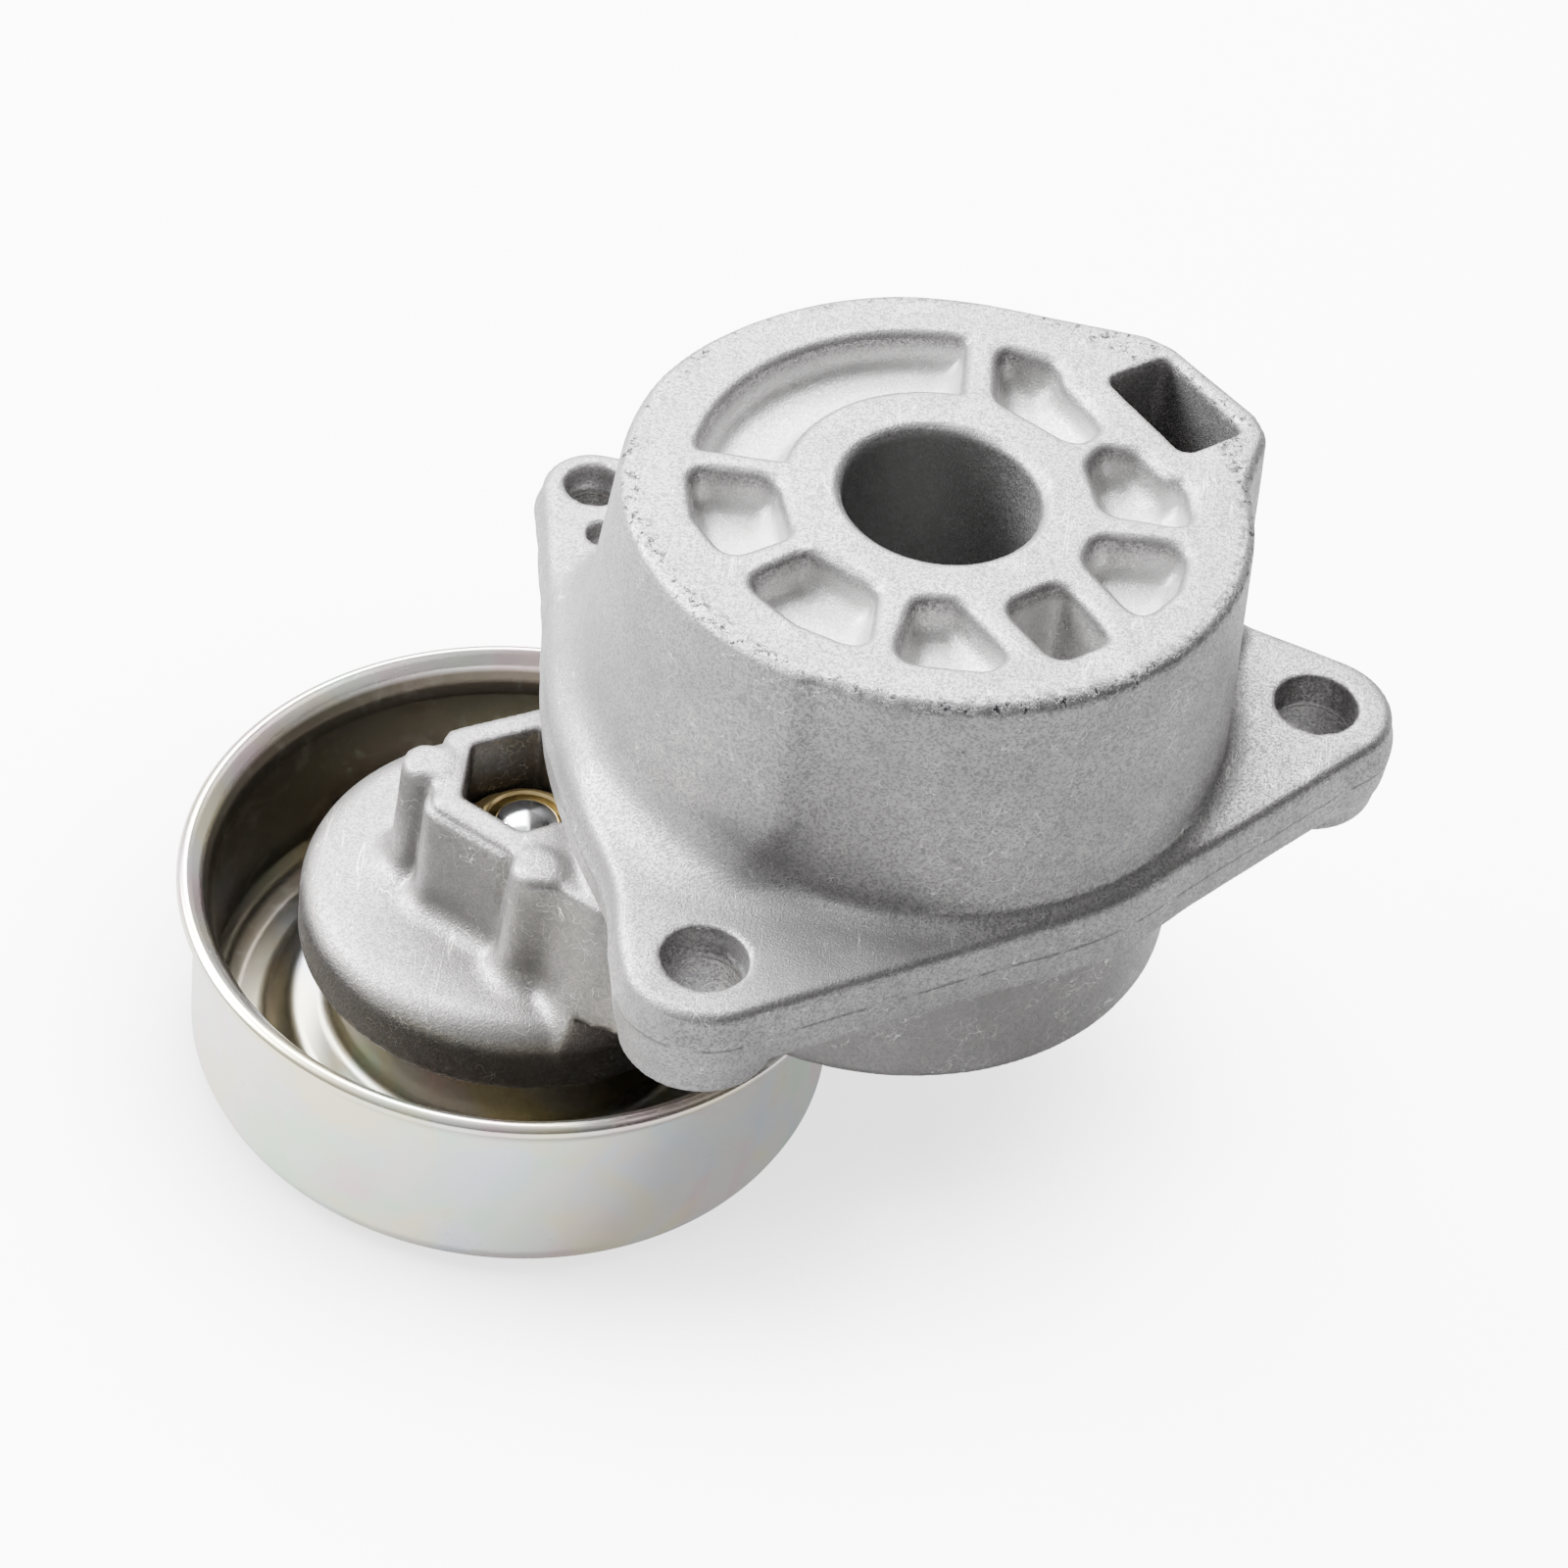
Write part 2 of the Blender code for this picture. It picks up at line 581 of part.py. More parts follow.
def make_arm(parent):
    """The die-cast swing arm."""
    arm = add_object("tensioner_arm", *lathe_data(drum_profile(), 36), finish="cast_aluminium",
                     parent=parent)
    combine(arm, "web", web_shape(), "UNION")
    combine(arm, "boss", boss_shape(), "UNION")
    combine(arm, "neck", neck_shape(), "UNION")
    combine(arm, "posts", merged(*[post_shape(x, y) for x, y in POSTS]), "UNION")
    combine(arm, "shoulder", shoulder_shape(), "UNION")
    lug = ring_sector(28.2, 30.2, REST_ANGLE - 5.0, REST_ANGLE + 5.0, DRUM_TOP - 2.0, -4.2, 2)
    rib = ring_sector(18.0, DRUM_R - 1.5, -14.0, -8.0, DRUM_FLOOR - 1.0, -16.4, 2)
    combine(arm, "stop_lug_and_spring_rib", merged(lug, rib), "UNION")
    combine(arm, "nut_pocket", prism_data(hexagon(HEX_POCKET_AF), HEX_POCKET_FLOOR, TOWER_TOP + 2.0),
            "DIFFERENCE")
    combine(arm, "bolt_hole", prism_data(circle(BOLT_HOLE_R, 16, (AXIS_X, AXIS_Y)), -40.0, -20.0), "DIFFERENCE")


# ---------------------------------------------------------------- pulley and bearing

def pulley_profile():
    """Section of the drawn sheet-steel pulley: flared lip, smooth wall, stepped web and bearing seat."""
    inner_r = PULLEY_R - SHEET
    seat_r = BEARING_R + GAP
    seat_under = BEARING_UNDER - GAP
    return [(inner_r + 2.6, PULLEY_TOP), (PULLEY_LIP_R - 0.3, PULLEY_TOP - 0.3),
            (PULLEY_LIP_R - 0.2, PULLEY_TOP - 1.7), (PULLEY_R, PULLEY_TOP - 3.4),
            (PULLEY_R, PULLEY_UNDER + 2.4), (PULLEY_R - 2.4, PULLEY_UNDER), (26.4, PULLEY_UNDER),
            (23.4, seat_under - 1.4), (16.2, seat_under - 1.4), (16.2, seat_under),
            (seat_r, seat_under), (seat_r, BEARING_TOP), (seat_r + SHEET, BEARING_TOP),
            (seat_r + SHEET, seat_under + 0.5), (24.2, seat_under + 0.5), (27.0, PULLEY_UNDER + SHEET),
            (inner_r - 1.6, PULLEY_UNDER + SHEET), (inner_r, PULLEY_UNDER + 3.4),
            (inner_r, PULLEY_TOP - 3.4), (inner_r + 1.2, PULLEY_TOP - 0.6)]


def groove(side):
    """Ball groove and land of a ring; side is +1 for the outer ring and -1 for the inner one."""
    half = math.sqrt(GROOVE_R ** 2 - LAND_OFFSET ** 2)
    lean = math.degrees(math.atan2(half, LAND_OFFSET))
    return [(PITCH_R + side * GROOVE_R * math.cos(math.radians(a)),
             BEARING_MID + GROOVE_R * math.sin(math.radians(a)))
            for a in (-lean, -lean / 2, 0.0, lean / 2, lean)]


def make_pulley(parent):
    """The pulley shell with the bearing parts that turn with it."""
    centre = (AXIS_X, AXIS_Y)
    origin = (AXIS_X, AXIS_Y, BEARING_MID)
    add_object("pulley_shell", *lathe_data(pulley_profile(), 48, centre), finish="pulley_steel",
               parent=parent, origin=origin)
    land = PITCH_R + LAND_OFFSET
    outer = [(land, BEARING_TOP), (BEARING_R, BEARING_TOP), (BEARING_R, BEARING_UNDER), (land, BEARING_UNDER)]
    add_object("bearing_outer_ring", *lathe_data(outer + groove(1.0), 28, centre), finish="bearing_steel",
               parent=parent, origin=origin)
    for name, top in (("rear_seal", BEARING_TOP - 0.2), ("front_seal", BEARING_UNDER + 1.0)):
        ring = [(11.5, top), (land - 0.3, top), (land - 0.3, top - 0.8), (11.5, top - 0.8)]
        add_object(name, *lathe_data(ring, 28, centre), finish="seal_rubber", parent=parent, origin=origin)


def make_cage(parent):
    """The ball cage and the balls, which go round together."""
    centre = (AXIS_X, AXIS_Y)
    origin = (AXIS_X, AXIS_Y, BEARING_MID)
    band = [(PITCH_R - 0.8, BEARING_MID + 3.7), (PITCH_R + 0.8, BEARING_MID + 3.7),
            (PITCH_R + 0.8, BEARING_MID - 3.7), (PITCH_R - 0.8, BEARING_MID - 3.7)]
    cage = add_object("bearing_cage", *lathe_data(band, 32, centre), finish="nylon", parent=parent,
                      origin=origin)
    windows = []
    for i in range(BALL_COUNT):
        angle = 360.0 * (i + 0.5) / BALL_COUNT
        rings = []
        for reach in (PITCH_R - 2.0, PITCH_R + 2.0):
            place = Vector((*polar(reach, angle, centre), BEARING_MID))
            side = Vector((*polar(1.0, angle + 90.0), 0.0))
            rings.append([tuple(place + side * u + Vector((0.0, 0.0, v)))
                          for u, v in circle(GROOVE_R, 8)])
        windows.append(loft_data(rings))
    combine(cage, "ball_windows", merged(*windows), "DIFFERENCE")
    ball = ball_mesh()
    for i in range(BALL_COUNT):
        item = bpy.data.objects.new(f"ball_{i + 1}", ball)
        bpy.context.collection.objects.link(item)
        spot = polar(PITCH_R, 360.0 * (i + 0.5) / BALL_COUNT, centre)
        item.location = Vector((*spot, BEARING_MID)) * MM
        item.parent = parent
        item.matrix_parent_inverse = parent.matrix_world.inverted()


def ball_mesh():
    """The mesh that the balls share."""
    mesh = bpy.data.meshes.new("ball")
    shape = bmesh.new()
    bmesh.ops.create_icosphere(shape, subdivisions=2, radius=BALL_R * MM)
    shape.to_mesh(mesh)
    shape.free()
    mesh.shade_smooth()
    mesh.materials.append(material("bearing_steel"))
    return mesh


def make_pulley_fasteners(parent):
    """What clamps the bearing's inner ring to the arm: ring, sleeve, washer, bolt and nut."""
    centre = (AXIS_X, AXIS_Y)
    land = PITCH_R - LAND_OFFSET
    inner = [(BEARING_BORE_R, BEARING_TOP), (BEARING_BORE_R, BEARING_UNDER), (land, BEARING_UNDER)]
    inner += groove(-1.0) + [(land, BEARING_TOP)]
    add_object("bearing_inner_ring", *lathe_data(inner, 28, centre), finish="bearing_steel", parent=parent)
    sleeve_r = BEARING_BORE_R - GAP
    sleeve = [(BOLT_HOLE_R + 0.1, BEARING_TOP), (sleeve_r, BEARING_TOP), (sleeve_r, BEARING_UNDER),
              (BOLT_HOLE_R + 0.1, BEARING_UNDER)]
    add_object("bearing_sleeve", *lathe_data(sleeve, 24, centre), finish="bearing_steel", parent=parent)
    under = BEARING_UNDER - GAP
    washer = [(BOLT_HOLE_R + 0.1, under), (13.9, under), (13.9, under - 0.6), (12.0, under - 1.2),
              (BOLT_HOLE_R + 0.1, under - 1.2)]
    add_object("front_washer", *lathe_data(washer, 28, centre), finish="clear_zinc", parent=parent)
    make_bolt(parent, under - 1.5)
    make_nut(parent)


def make_bolt(parent, seat):
    """The pulley bolt, with a low socket head and a domed tip."""
    tip = HEX_POCKET_FLOOR + 9.2
    profile = [(0.0, tip), (1.8, tip - 0.25), (3.1, tip - 1.1), (4.0, tip - 2.7), (4.0, seat),
               (7.8, seat), (7.2, seat - 2.4), (5.8, seat - 2.9), (0.0, seat - 2.9)]
    bolt = add_object("pulley_bolt", *lathe_data(profile, 20, (AXIS_X, AXIS_Y)), finish="clear_zinc",
                      parent=parent)
    combine(bolt, "bolt_socket", prism_data(hexagon(5.0), seat - 4.0, seat - 0.8), "DIFFERENCE")


def make_nut(parent):
    """The locking nut that the hexagonal pocket keeps from turning."""
    base = HEX_POCKET_FLOOR + GAP
    flats = hexagon(13.0)
    collar = circle(5.2, 20, (AXIS_X, AXIS_Y))
    nut = add_object("pulley_nut", *loft_data([[(*p, z) for p in flats] for z in (base, base + 6.3)]),
                     finish="yellow_zinc", parent=parent)
    rings = [[(*p, z) for p in collar] for z in (base + 3.0, base + 7.6)]
    rings.append([(*p, base + 8.0) for p in circle(4.8, 20, (AXIS_X, AXIS_Y))])
    combine(nut, "nut_collar", loft_data(rings), "UNION")
    combine(nut, "nut_bore", prism_data(circle(BOLT_HOLE_R, 16, (AXIS_X, AXIS_Y)), base - 2.0, base + 10.0),
            "DIFFERENCE")


def main():
    """Clear the scene and build the tensioner."""
    for item in list(bpy.data.objects):
        bpy.data.objects.remove(item, do_unlink=True)
    arm_axis = empty("arm_axis", (0.0, 0.0, 0.0))
    pulley_axis = empty("pulley_axis", (AXIS_X, AXIS_Y, BEARING_MID))
    cage_axis = empty("cage_axis", (AXIS_X, AXIS_Y, BEARING_MID))
    for axis in (pulley_axis, cage_axis):
        axis.parent = arm_axis
    bpy.context.view_layer.update()
    make_housing()
    make_pivot()
    make_spring()
    make_damper(arm_axis)
    make_bushes(arm_axis)
    make_arm(arm_axis)
    make_pulley_fasteners(arm_axis)
    make_pulley(pulley_axis)
    make_cage(cage_axis)


main()
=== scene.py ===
"""Looks of an automatic belt tensioner with its idler pulley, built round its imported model.

Lengths are in millimetres and angles in degrees until a mesh is made, where MM turns them into metres. The
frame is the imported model's own: the origin is on the arm's pivot axis in the plane of the ears' faces, and
+Z points to the spring housing's closed end. The two castings are made as distance fields on a grid, so that
every inside corner gets a true fillet and every edge the soft radius of a die casting. Turned and drawn
pieces are profiles spun about their axes.
"""

from __future__ import annotations

import logging
import math
from dataclasses import dataclass, field
from enum import Enum
from itertools import product

import bmesh
import bpy
import numpy as np
from mathutils import Matrix, Vector


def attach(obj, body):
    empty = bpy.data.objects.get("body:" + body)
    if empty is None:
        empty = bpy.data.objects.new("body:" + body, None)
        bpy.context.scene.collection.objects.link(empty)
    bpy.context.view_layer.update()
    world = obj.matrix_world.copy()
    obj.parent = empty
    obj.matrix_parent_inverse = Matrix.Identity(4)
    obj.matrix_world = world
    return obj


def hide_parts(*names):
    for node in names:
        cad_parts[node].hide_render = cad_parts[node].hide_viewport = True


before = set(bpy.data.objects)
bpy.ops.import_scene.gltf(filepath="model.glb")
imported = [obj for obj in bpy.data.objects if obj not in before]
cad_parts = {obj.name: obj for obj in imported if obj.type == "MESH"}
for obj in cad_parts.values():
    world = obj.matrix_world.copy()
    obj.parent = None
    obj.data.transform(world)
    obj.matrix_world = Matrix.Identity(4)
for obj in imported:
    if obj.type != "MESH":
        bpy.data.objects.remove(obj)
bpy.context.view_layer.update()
LOG = logging.getLogger("tensioner")

MM = 0.001
PULLEY_AXIS = (-38.5, -6.9)
BEARING_MID = -41.9
LEAST_TURN = 14.0
ON_AXIS = 1e-6

Point = tuple[float, float]
Outline = list[Point]


# ------------------------------------------------------------------ plan outlines

def polar(radius: float, angle: float, centre: Point = (0.0, 0.0)) -> Point:
    """Point at a radius and an angle about a centre.

    Args:
        radius: Distance from the centre.
        angle: Direction in degrees, anticlockwise from +X.
        centre: The centre.

    Returns:
        The point's x and y.
    """
    turn = math.radians(angle)
    return centre[0] + radius * math.cos(turn), centre[1] + radius * math.sin(turn)


def arc(radius: float, start: float, end: float, steps: int, centre: Point = (0.0, 0.0)) -> Outline:
    """Points along an arc, both ends included.

    Args:
        radius: The arc's radius.
        start: First angle in degrees.
        end: Last angle in degrees.
        steps: Number of spans.
        centre: The arc's centre.

    Returns:
        The points in order.
    """
    return [polar(radius, start + (end - start) * i / steps, centre) for i in range(steps + 1)]


def hexagon(across_flats: float, centre: Point = PULLEY_AXIS) -> Outline:
    """Corners of a hexagon whose flats face along X.

    Args:
        across_flats: Distance between two opposite flats.
        centre: The hexagon's centre.

    Returns:
        Its six corners, anticlockwise.
    """
    return [polar(across_flats / math.sqrt(3.0), 30.0 + 60.0 * i, centre) for i in range(6)]


def belt(circles: list[tuple[float, float, float]]) -> Outline:
    """Outline of a belt run anticlockwise round circles, with straight outer tangents.

    Args:
        circles: The x, y and radius of each circle, in order.

    Returns:
        The closed outline.
    """
    angles = []
    for (x0, y0, r0), (x1, y1, r1) in zip(circles, circles[1:] + circles[:1]):
        heading = math.degrees(math.atan2(y1 - y0, x1 - x0))
        angles.append(heading - math.degrees(math.acos((r0 - r1) / math.hypot(x1 - x0, y1 - y0))))
    outline: Outline = []
    for i, (x, y, r) in enumerate(circles):
        sweep = (angles[i] - angles[i - 1]) % 360.0
        outline += arc(r, angles[i - 1], angles[i - 1] + sweep, max(2, round(sweep / 4)), (x, y))
    return outline


def corner_arc(here: Vector, before: Vector, after: Vector, reach: float, steps: int) -> Outline:
    """Points of the soft arc that replaces a corner.

    Args:
        here: The corner.
        before: From the corner to the one before.
        after: From the corner to the one after.
        reach: How far along each side the arc starts.
        steps: Spans in the arc.

    Returns:
        The arc's points.
    """
    first, last = here + before.normalized() * reach, here + after.normalized() * reach
    points: Outline = []
    for k in range(steps + 1):
        t = k / steps
        spot = first * (1 - t) ** 2 + here * 2 * t * (1 - t) + last * t ** 2
        points.append((spot.x, spot.y))
    return points


def softened_plan(outline: Outline, radius: float) -> Outline:
    """Round the corners of a closed outline that turn by more than LEAST_TURN.

    Args:
        outline: The outline's corners.
        radius: The corners' radius.

    Returns:
        The rounded outline.
    """
    points: Outline = []
    for i, corner in enumerate(outline):
        here = Vector(corner)
        before, after = Vector(outline[i - 1]) - here, Vector(outline[(i + 1) % len(outline)]) - here
        turn = math.pi - before.angle(after)
        if turn < math.radians(LEAST_TURN):
            points.append(corner)
            continue
        reach = min(radius * math.tan(turn / 2), 0.48 * before.length, 0.48 * after.length)
        points += corner_arc(here, before, after, reach, 6)
    return points


def softened(profile: Outline, radius: float, steps: int = 4) -> Outline:
    """Round the corners of a closed profile, apart from those on its axis.

    Args:
        profile: The section's corners.
        radius: Largest radius of a corner.
        steps: Spans in each corner.

    Returns:
        The profile with an arc at each corner.
    """
    points: Outline = []
    for i, corner in enumerate(profile):
        here = Vector(corner)
        before, after = Vector(profile[i - 1]) - here, Vector(profile[(i + 1) % len(profile)]) - here
        if here.x <= ON_AXIS:
            points.append(corner)
            continue
        turn = math.pi - before.angle(after, math.pi)
        reach = min(radius * math.tan(turn / 2), 0.45 * before.length, 0.45 * after.length)
        points += corner_arc(here, before, after, reach, steps)
    return points


# ------------------------------------------------------------------ distance fields

def fillet_union(a: np.ndarray, b: np.ndarray, radius: float | np.ndarray) -> np.ndarray:
    """Join two solids with a round fillet in the corner between them.

    Args:
        a: Distance field of the first solid, negative inside.
        b: Distance field of the second solid.
        radius: The fillet's radius, which may change over the grid.

    Returns:
        The distance field of both.
    """
    u = np.maximum(radius - a, 0.0)
    v = np.maximum(radius - b, 0.0)
    return np.maximum(radius, np.minimum(a, b)) - np.sqrt(u * u + v * v)


def rounded_overlap(a: np.ndarray, b: np.ndarray, radius: float) -> np.ndarray:
    """What two solids share, with the edge between their faces rounded.

    Args:
        a: Distance field of the first solid.
        b: Distance field of the second solid.
        radius: The edge's radius.

    Returns:
        The distance field of the shared part.
    """
    return -fillet_union(-a, -b, radius)


def cut(a: np.ndarray, b: np.ndarray, radius: float) -> np.ndarray:
    """Take one solid out of another and round the edge of the cut.

    Args:
        a: Distance field of the solid that stays.
        b: Distance field of the cutter.
        radius: Radius of the cut's edge.

    Returns:
        The distance field of what is left.
    """
    return -fillet_union(-a, b, radius)


def smooth_share(value: np.ndarray) -> np.ndarray:
    """A smooth step from 0 to 1 as the value goes from 0 to 1."""
    value = np.clip(value, 0.0, 1.0)
    return value * value * (3.0 - 2.0 * value)


@dataclass
class CastingGrid:
    """A grid of points on which a casting's distance field is worked out, then turned into a mesh.

    Attributes:
        low: Lowest corner.
        high: Highest corner.
        cell: Spacing of the points.
    """

    low: tuple[float, float, float]
    high: tuple[float, float, float]
    cell: float
    x: np.ndarray = field(init=False)
    y: np.ndarray = field(init=False)
    z: np.ndarray = field(init=False)

    def __post_init__(self) -> None:
        """Lay out the three axes so that they broadcast over the grid."""
        axes = [np.arange(a, b + self.cell, self.cell, dtype=np.float32)
                for a, b in zip(self.low, self.high)]
        self.x = axes[0][:, None, None]
        self.y = axes[1][None, :, None]
        self.z = axes[2][None, None, :]

    def plan(self, outline: Outline) -> np.ndarray:
        """Signed distance in plan from a closed outline.

        Args:
            outline: The outline's corners.

        Returns:
            Distances over x and y, negative inside.
        """
        px, py = self.x[:, :, 0], self.y[:, :, 0]
        nearest = np.full((self.x.shape[0], self.y.shape[1]), 1e9, np.float32)
        inside = np.zeros(nearest.shape, bool)
        for (ax, ay), (bx, by) in zip(outline, outline[1:] + outline[:1]):
            ex, ey = bx - ax, by - ay
            length = ex * ex + ey * ey
            if length < 1e-9:
                continue
            along = np.clip(((px - ax) * ex + (py - ay) * ey) / length, 0.0, 1.0)
            nearest = np.minimum(nearest, (px - ax - along * ex) ** 2 + (py - ay - along * ey) ** 2)
            crosses = (ay > py) != (by > py)
            if ey:
                inside ^= crosses & (px < ax + (py - ay) * ex / ey)
        distance = np.where(inside, -1.0, 1.0) * np.sqrt(nearest)
        return distance[:, :, None].astype(np.float32)

    def disc(self, radius: float, centre: Point = (0.0, 0.0)) -> np.ndarray:
        """Signed distance in plan from a circle.

        Args:
            radius: The circle's radius.
            centre: Its centre.

        Returns:
            Distances over x and y, negative inside.
        """
        return np.hypot(self.x - centre[0], self.y - centre[1]).astype(np.float32) - radius

    def angle(self, centre: Point = (0.0, 0.0)) -> np.ndarray:
        """Direction of each point from a centre in plan, from 0 to 360 degrees."""
        return np.degrees(np.arctan2(self.y - centre[1], self.x - centre[0])) % 360.0

    def between(self, low: float, high: float) -> np.ndarray:
        """Signed distance from the layer between two heights, negative inside."""
        return np.abs(self.z - (low + high) / 2.0) - (high - low) / 2.0

    def mesh(self, name: str, distance: np.ndarray) -> bpy.types.Mesh:
        """Mesh of the surface where the distance is zero, one vertex for each cell that it crosses.

        Args:
            name: The mesh's name.
            distance: The distance field.

        Returns:
            A closed mesh in metres, smooth shaded, with its faces outwards.
        """
        inside = distance < 0.0
        cells = tuple(n - 1 for n in distance.shape)
        count = np.zeros(cells, np.int8)
        for i, j, k in product((0, 1), repeat=3):
            count += inside[i:cells[0] + i, j:cells[1] + j, k:cells[2] + k]
        spots = np.argwhere((count > 0) & (count < 8))
        ids = np.full(cells, -1, np.int64)
        ids[tuple(spots.T)] = np.arange(len(spots))
        total = np.zeros((len(spots), 3))
        hits = np.zeros(len(spots))
        corners = list(product((0, 1), repeat=3))
        for a, b in product(corners, corners):
            if sum(b) - sum(a) != 1 or any(q < p for p, q in zip(a, b)):
                continue
            va = distance[tuple((spots + a).T)]
            vb = distance[tuple((spots + b).T)]
            crossed = (va < 0.0) != (vb < 0.0)
            t = np.where(crossed, va / np.where(crossed, va - vb, 1.0), 0.0)
            place = np.array(a) + t[:, None] * (np.array(b) - np.array(a))
            total += np.where(crossed[:, None], place, 0.0)
            hits += crossed
        base = np.array(self.low)
        points = (spots + total / hits[:, None]) * self.cell + base
        quads = []
        for axis in range(3):
            u, v = (axis + 1) % 3, (axis + 2) % 3
            ahead = np.roll(inside, -1, axis)
            change = inside != ahead
            trim = [slice(1, -1)] * 3
            trim[axis] = slice(0, -1)
            edge = np.argwhere(change[tuple(trim)]) + [0 if i == axis else 1 for i in range(3)]
            ring = []
            for du, dv in ((-1, -1), (0, -1), (0, 0), (-1, 0)):
                shifted = edge.copy()
                shifted[:, u] += du
                shifted[:, v] += dv
                ring.append(ids[tuple(shifted.T)])
            quad = np.stack(ring, 1)
            backwards = ~inside[tuple(edge.T)]
            quad[backwards] = quad[backwards][:, ::-1]
            quads.append(quad)
        mesh = bpy.data.meshes.new(name)
        mesh.from_pydata((points * MM).tolist(), [], np.concatenate(quads).tolist())
        mesh.shade_smooth()
        return mesh


def ripple(grid: CastingGrid) -> np.ndarray:
    """The slight unevenness of a cast face, from -1 to 1 over the grid."""
    return (np.sin(grid.x * 0.61 + 1.3 * np.sin(grid.z * 0.37)) * np.sin(grid.y * 0.53 + 0.7)
            + np.sin(grid.z * 0.71 + 0.9 * np.sin(grid.y * 0.29)) * np.sin(grid.x * 0.43 + 2.1)) / 2.0


# ------------------------------------------------------------------ turned and swept pieces

def metres(x: float, y: float, height: float) -> tuple[float, float, float]:
    """A point in metres."""
    return x * MM, y * MM, height * MM


def loft_faces(rings: int, count: int, looped: bool, base: int = 0) -> list[list[int]]:
    """Faces that join equal rings of points one after the other.

    Args:
        rings: Number of rings.
        count: Points in each ring.
        looped: Join the last ring to the first, or else close both ends.
        base: Number of the first point.

    Returns:
        The faces.
    """
    faces = []
    for i in range(rings if looped else rings - 1):
        here, there = base + i * count, base + (i + 1) % rings * count
        for k in range(count):
            following = (k + 1) % count
            faces.append([here + k, here + following, there + following, there + k])
    if not looped:
        last = base + (rings - 1) * count
        faces += [list(range(base, base + count)), list(range(last, last + count))]
    return faces


def spun_mesh(name: str, profile: Outline, steps: int, centre: Point, sharp: float = 35.0) -> bpy.types.Mesh:
    """Mesh of a closed (radius, height) profile spun about a vertical axis.

    Args:
        name: The mesh's name.
        profile: The section's corners.
        steps: Number of steps round the axis.
        centre: Where the axis stands.
        sharp: Edges that turn more than this stay sharp.

    Returns:
        The mesh, in metres.
    """
    points: list[tuple[float, float, float]] = []
    rows: list[list[int]] = []
    for radius, height in profile:
        if radius <= ON_AXIS:
            rows.append([len(points)] * steps)
            points.append(metres(*centre, height))
            continue
        rows.append(list(range(len(points), len(points) + steps)))
        for x, y in arc(radius, 0.0, 360.0, steps, centre)[:-1]:
            points.append(metres(x, y, height))
    faces = []
    for row, following in zip(rows, rows[1:] + rows[:1]):
        for i in range(steps):
            j = (i + 1) % steps
            corners = list(dict.fromkeys((row[i], row[j], following[j], following[i])))
            if len(corners) > 2:
                faces.append(corners)
    return closed_mesh(name, points, faces, sharp)


def closed_mesh(name: str, points: list, faces: list, sharp: float = 35.0) -> bpy.types.Mesh:
    """Mesh from points in metres, with its faces turned outwards.

    Args:
        name: The mesh's name.
        points: Vertex places.
        faces: Vertex numbers of each face.
        sharp: Edges that turn more than this stay sharp.

    Returns:
        The mesh.
    """
    mesh = bpy.data.meshes.new(name)
    mesh.from_pydata(points, [], faces)
    shape = bmesh.new()
    shape.from_mesh(mesh)
    bmesh.ops.recalc_face_normals(shape, faces=shape.faces)
    shape.to_mesh(mesh)
    shape.free()
    mesh.shade_smooth()
    mesh.set_sharp_from_angle(angle=math.radians(sharp))
    return mesh


# ------------------------------------------------------------------ shader helpers

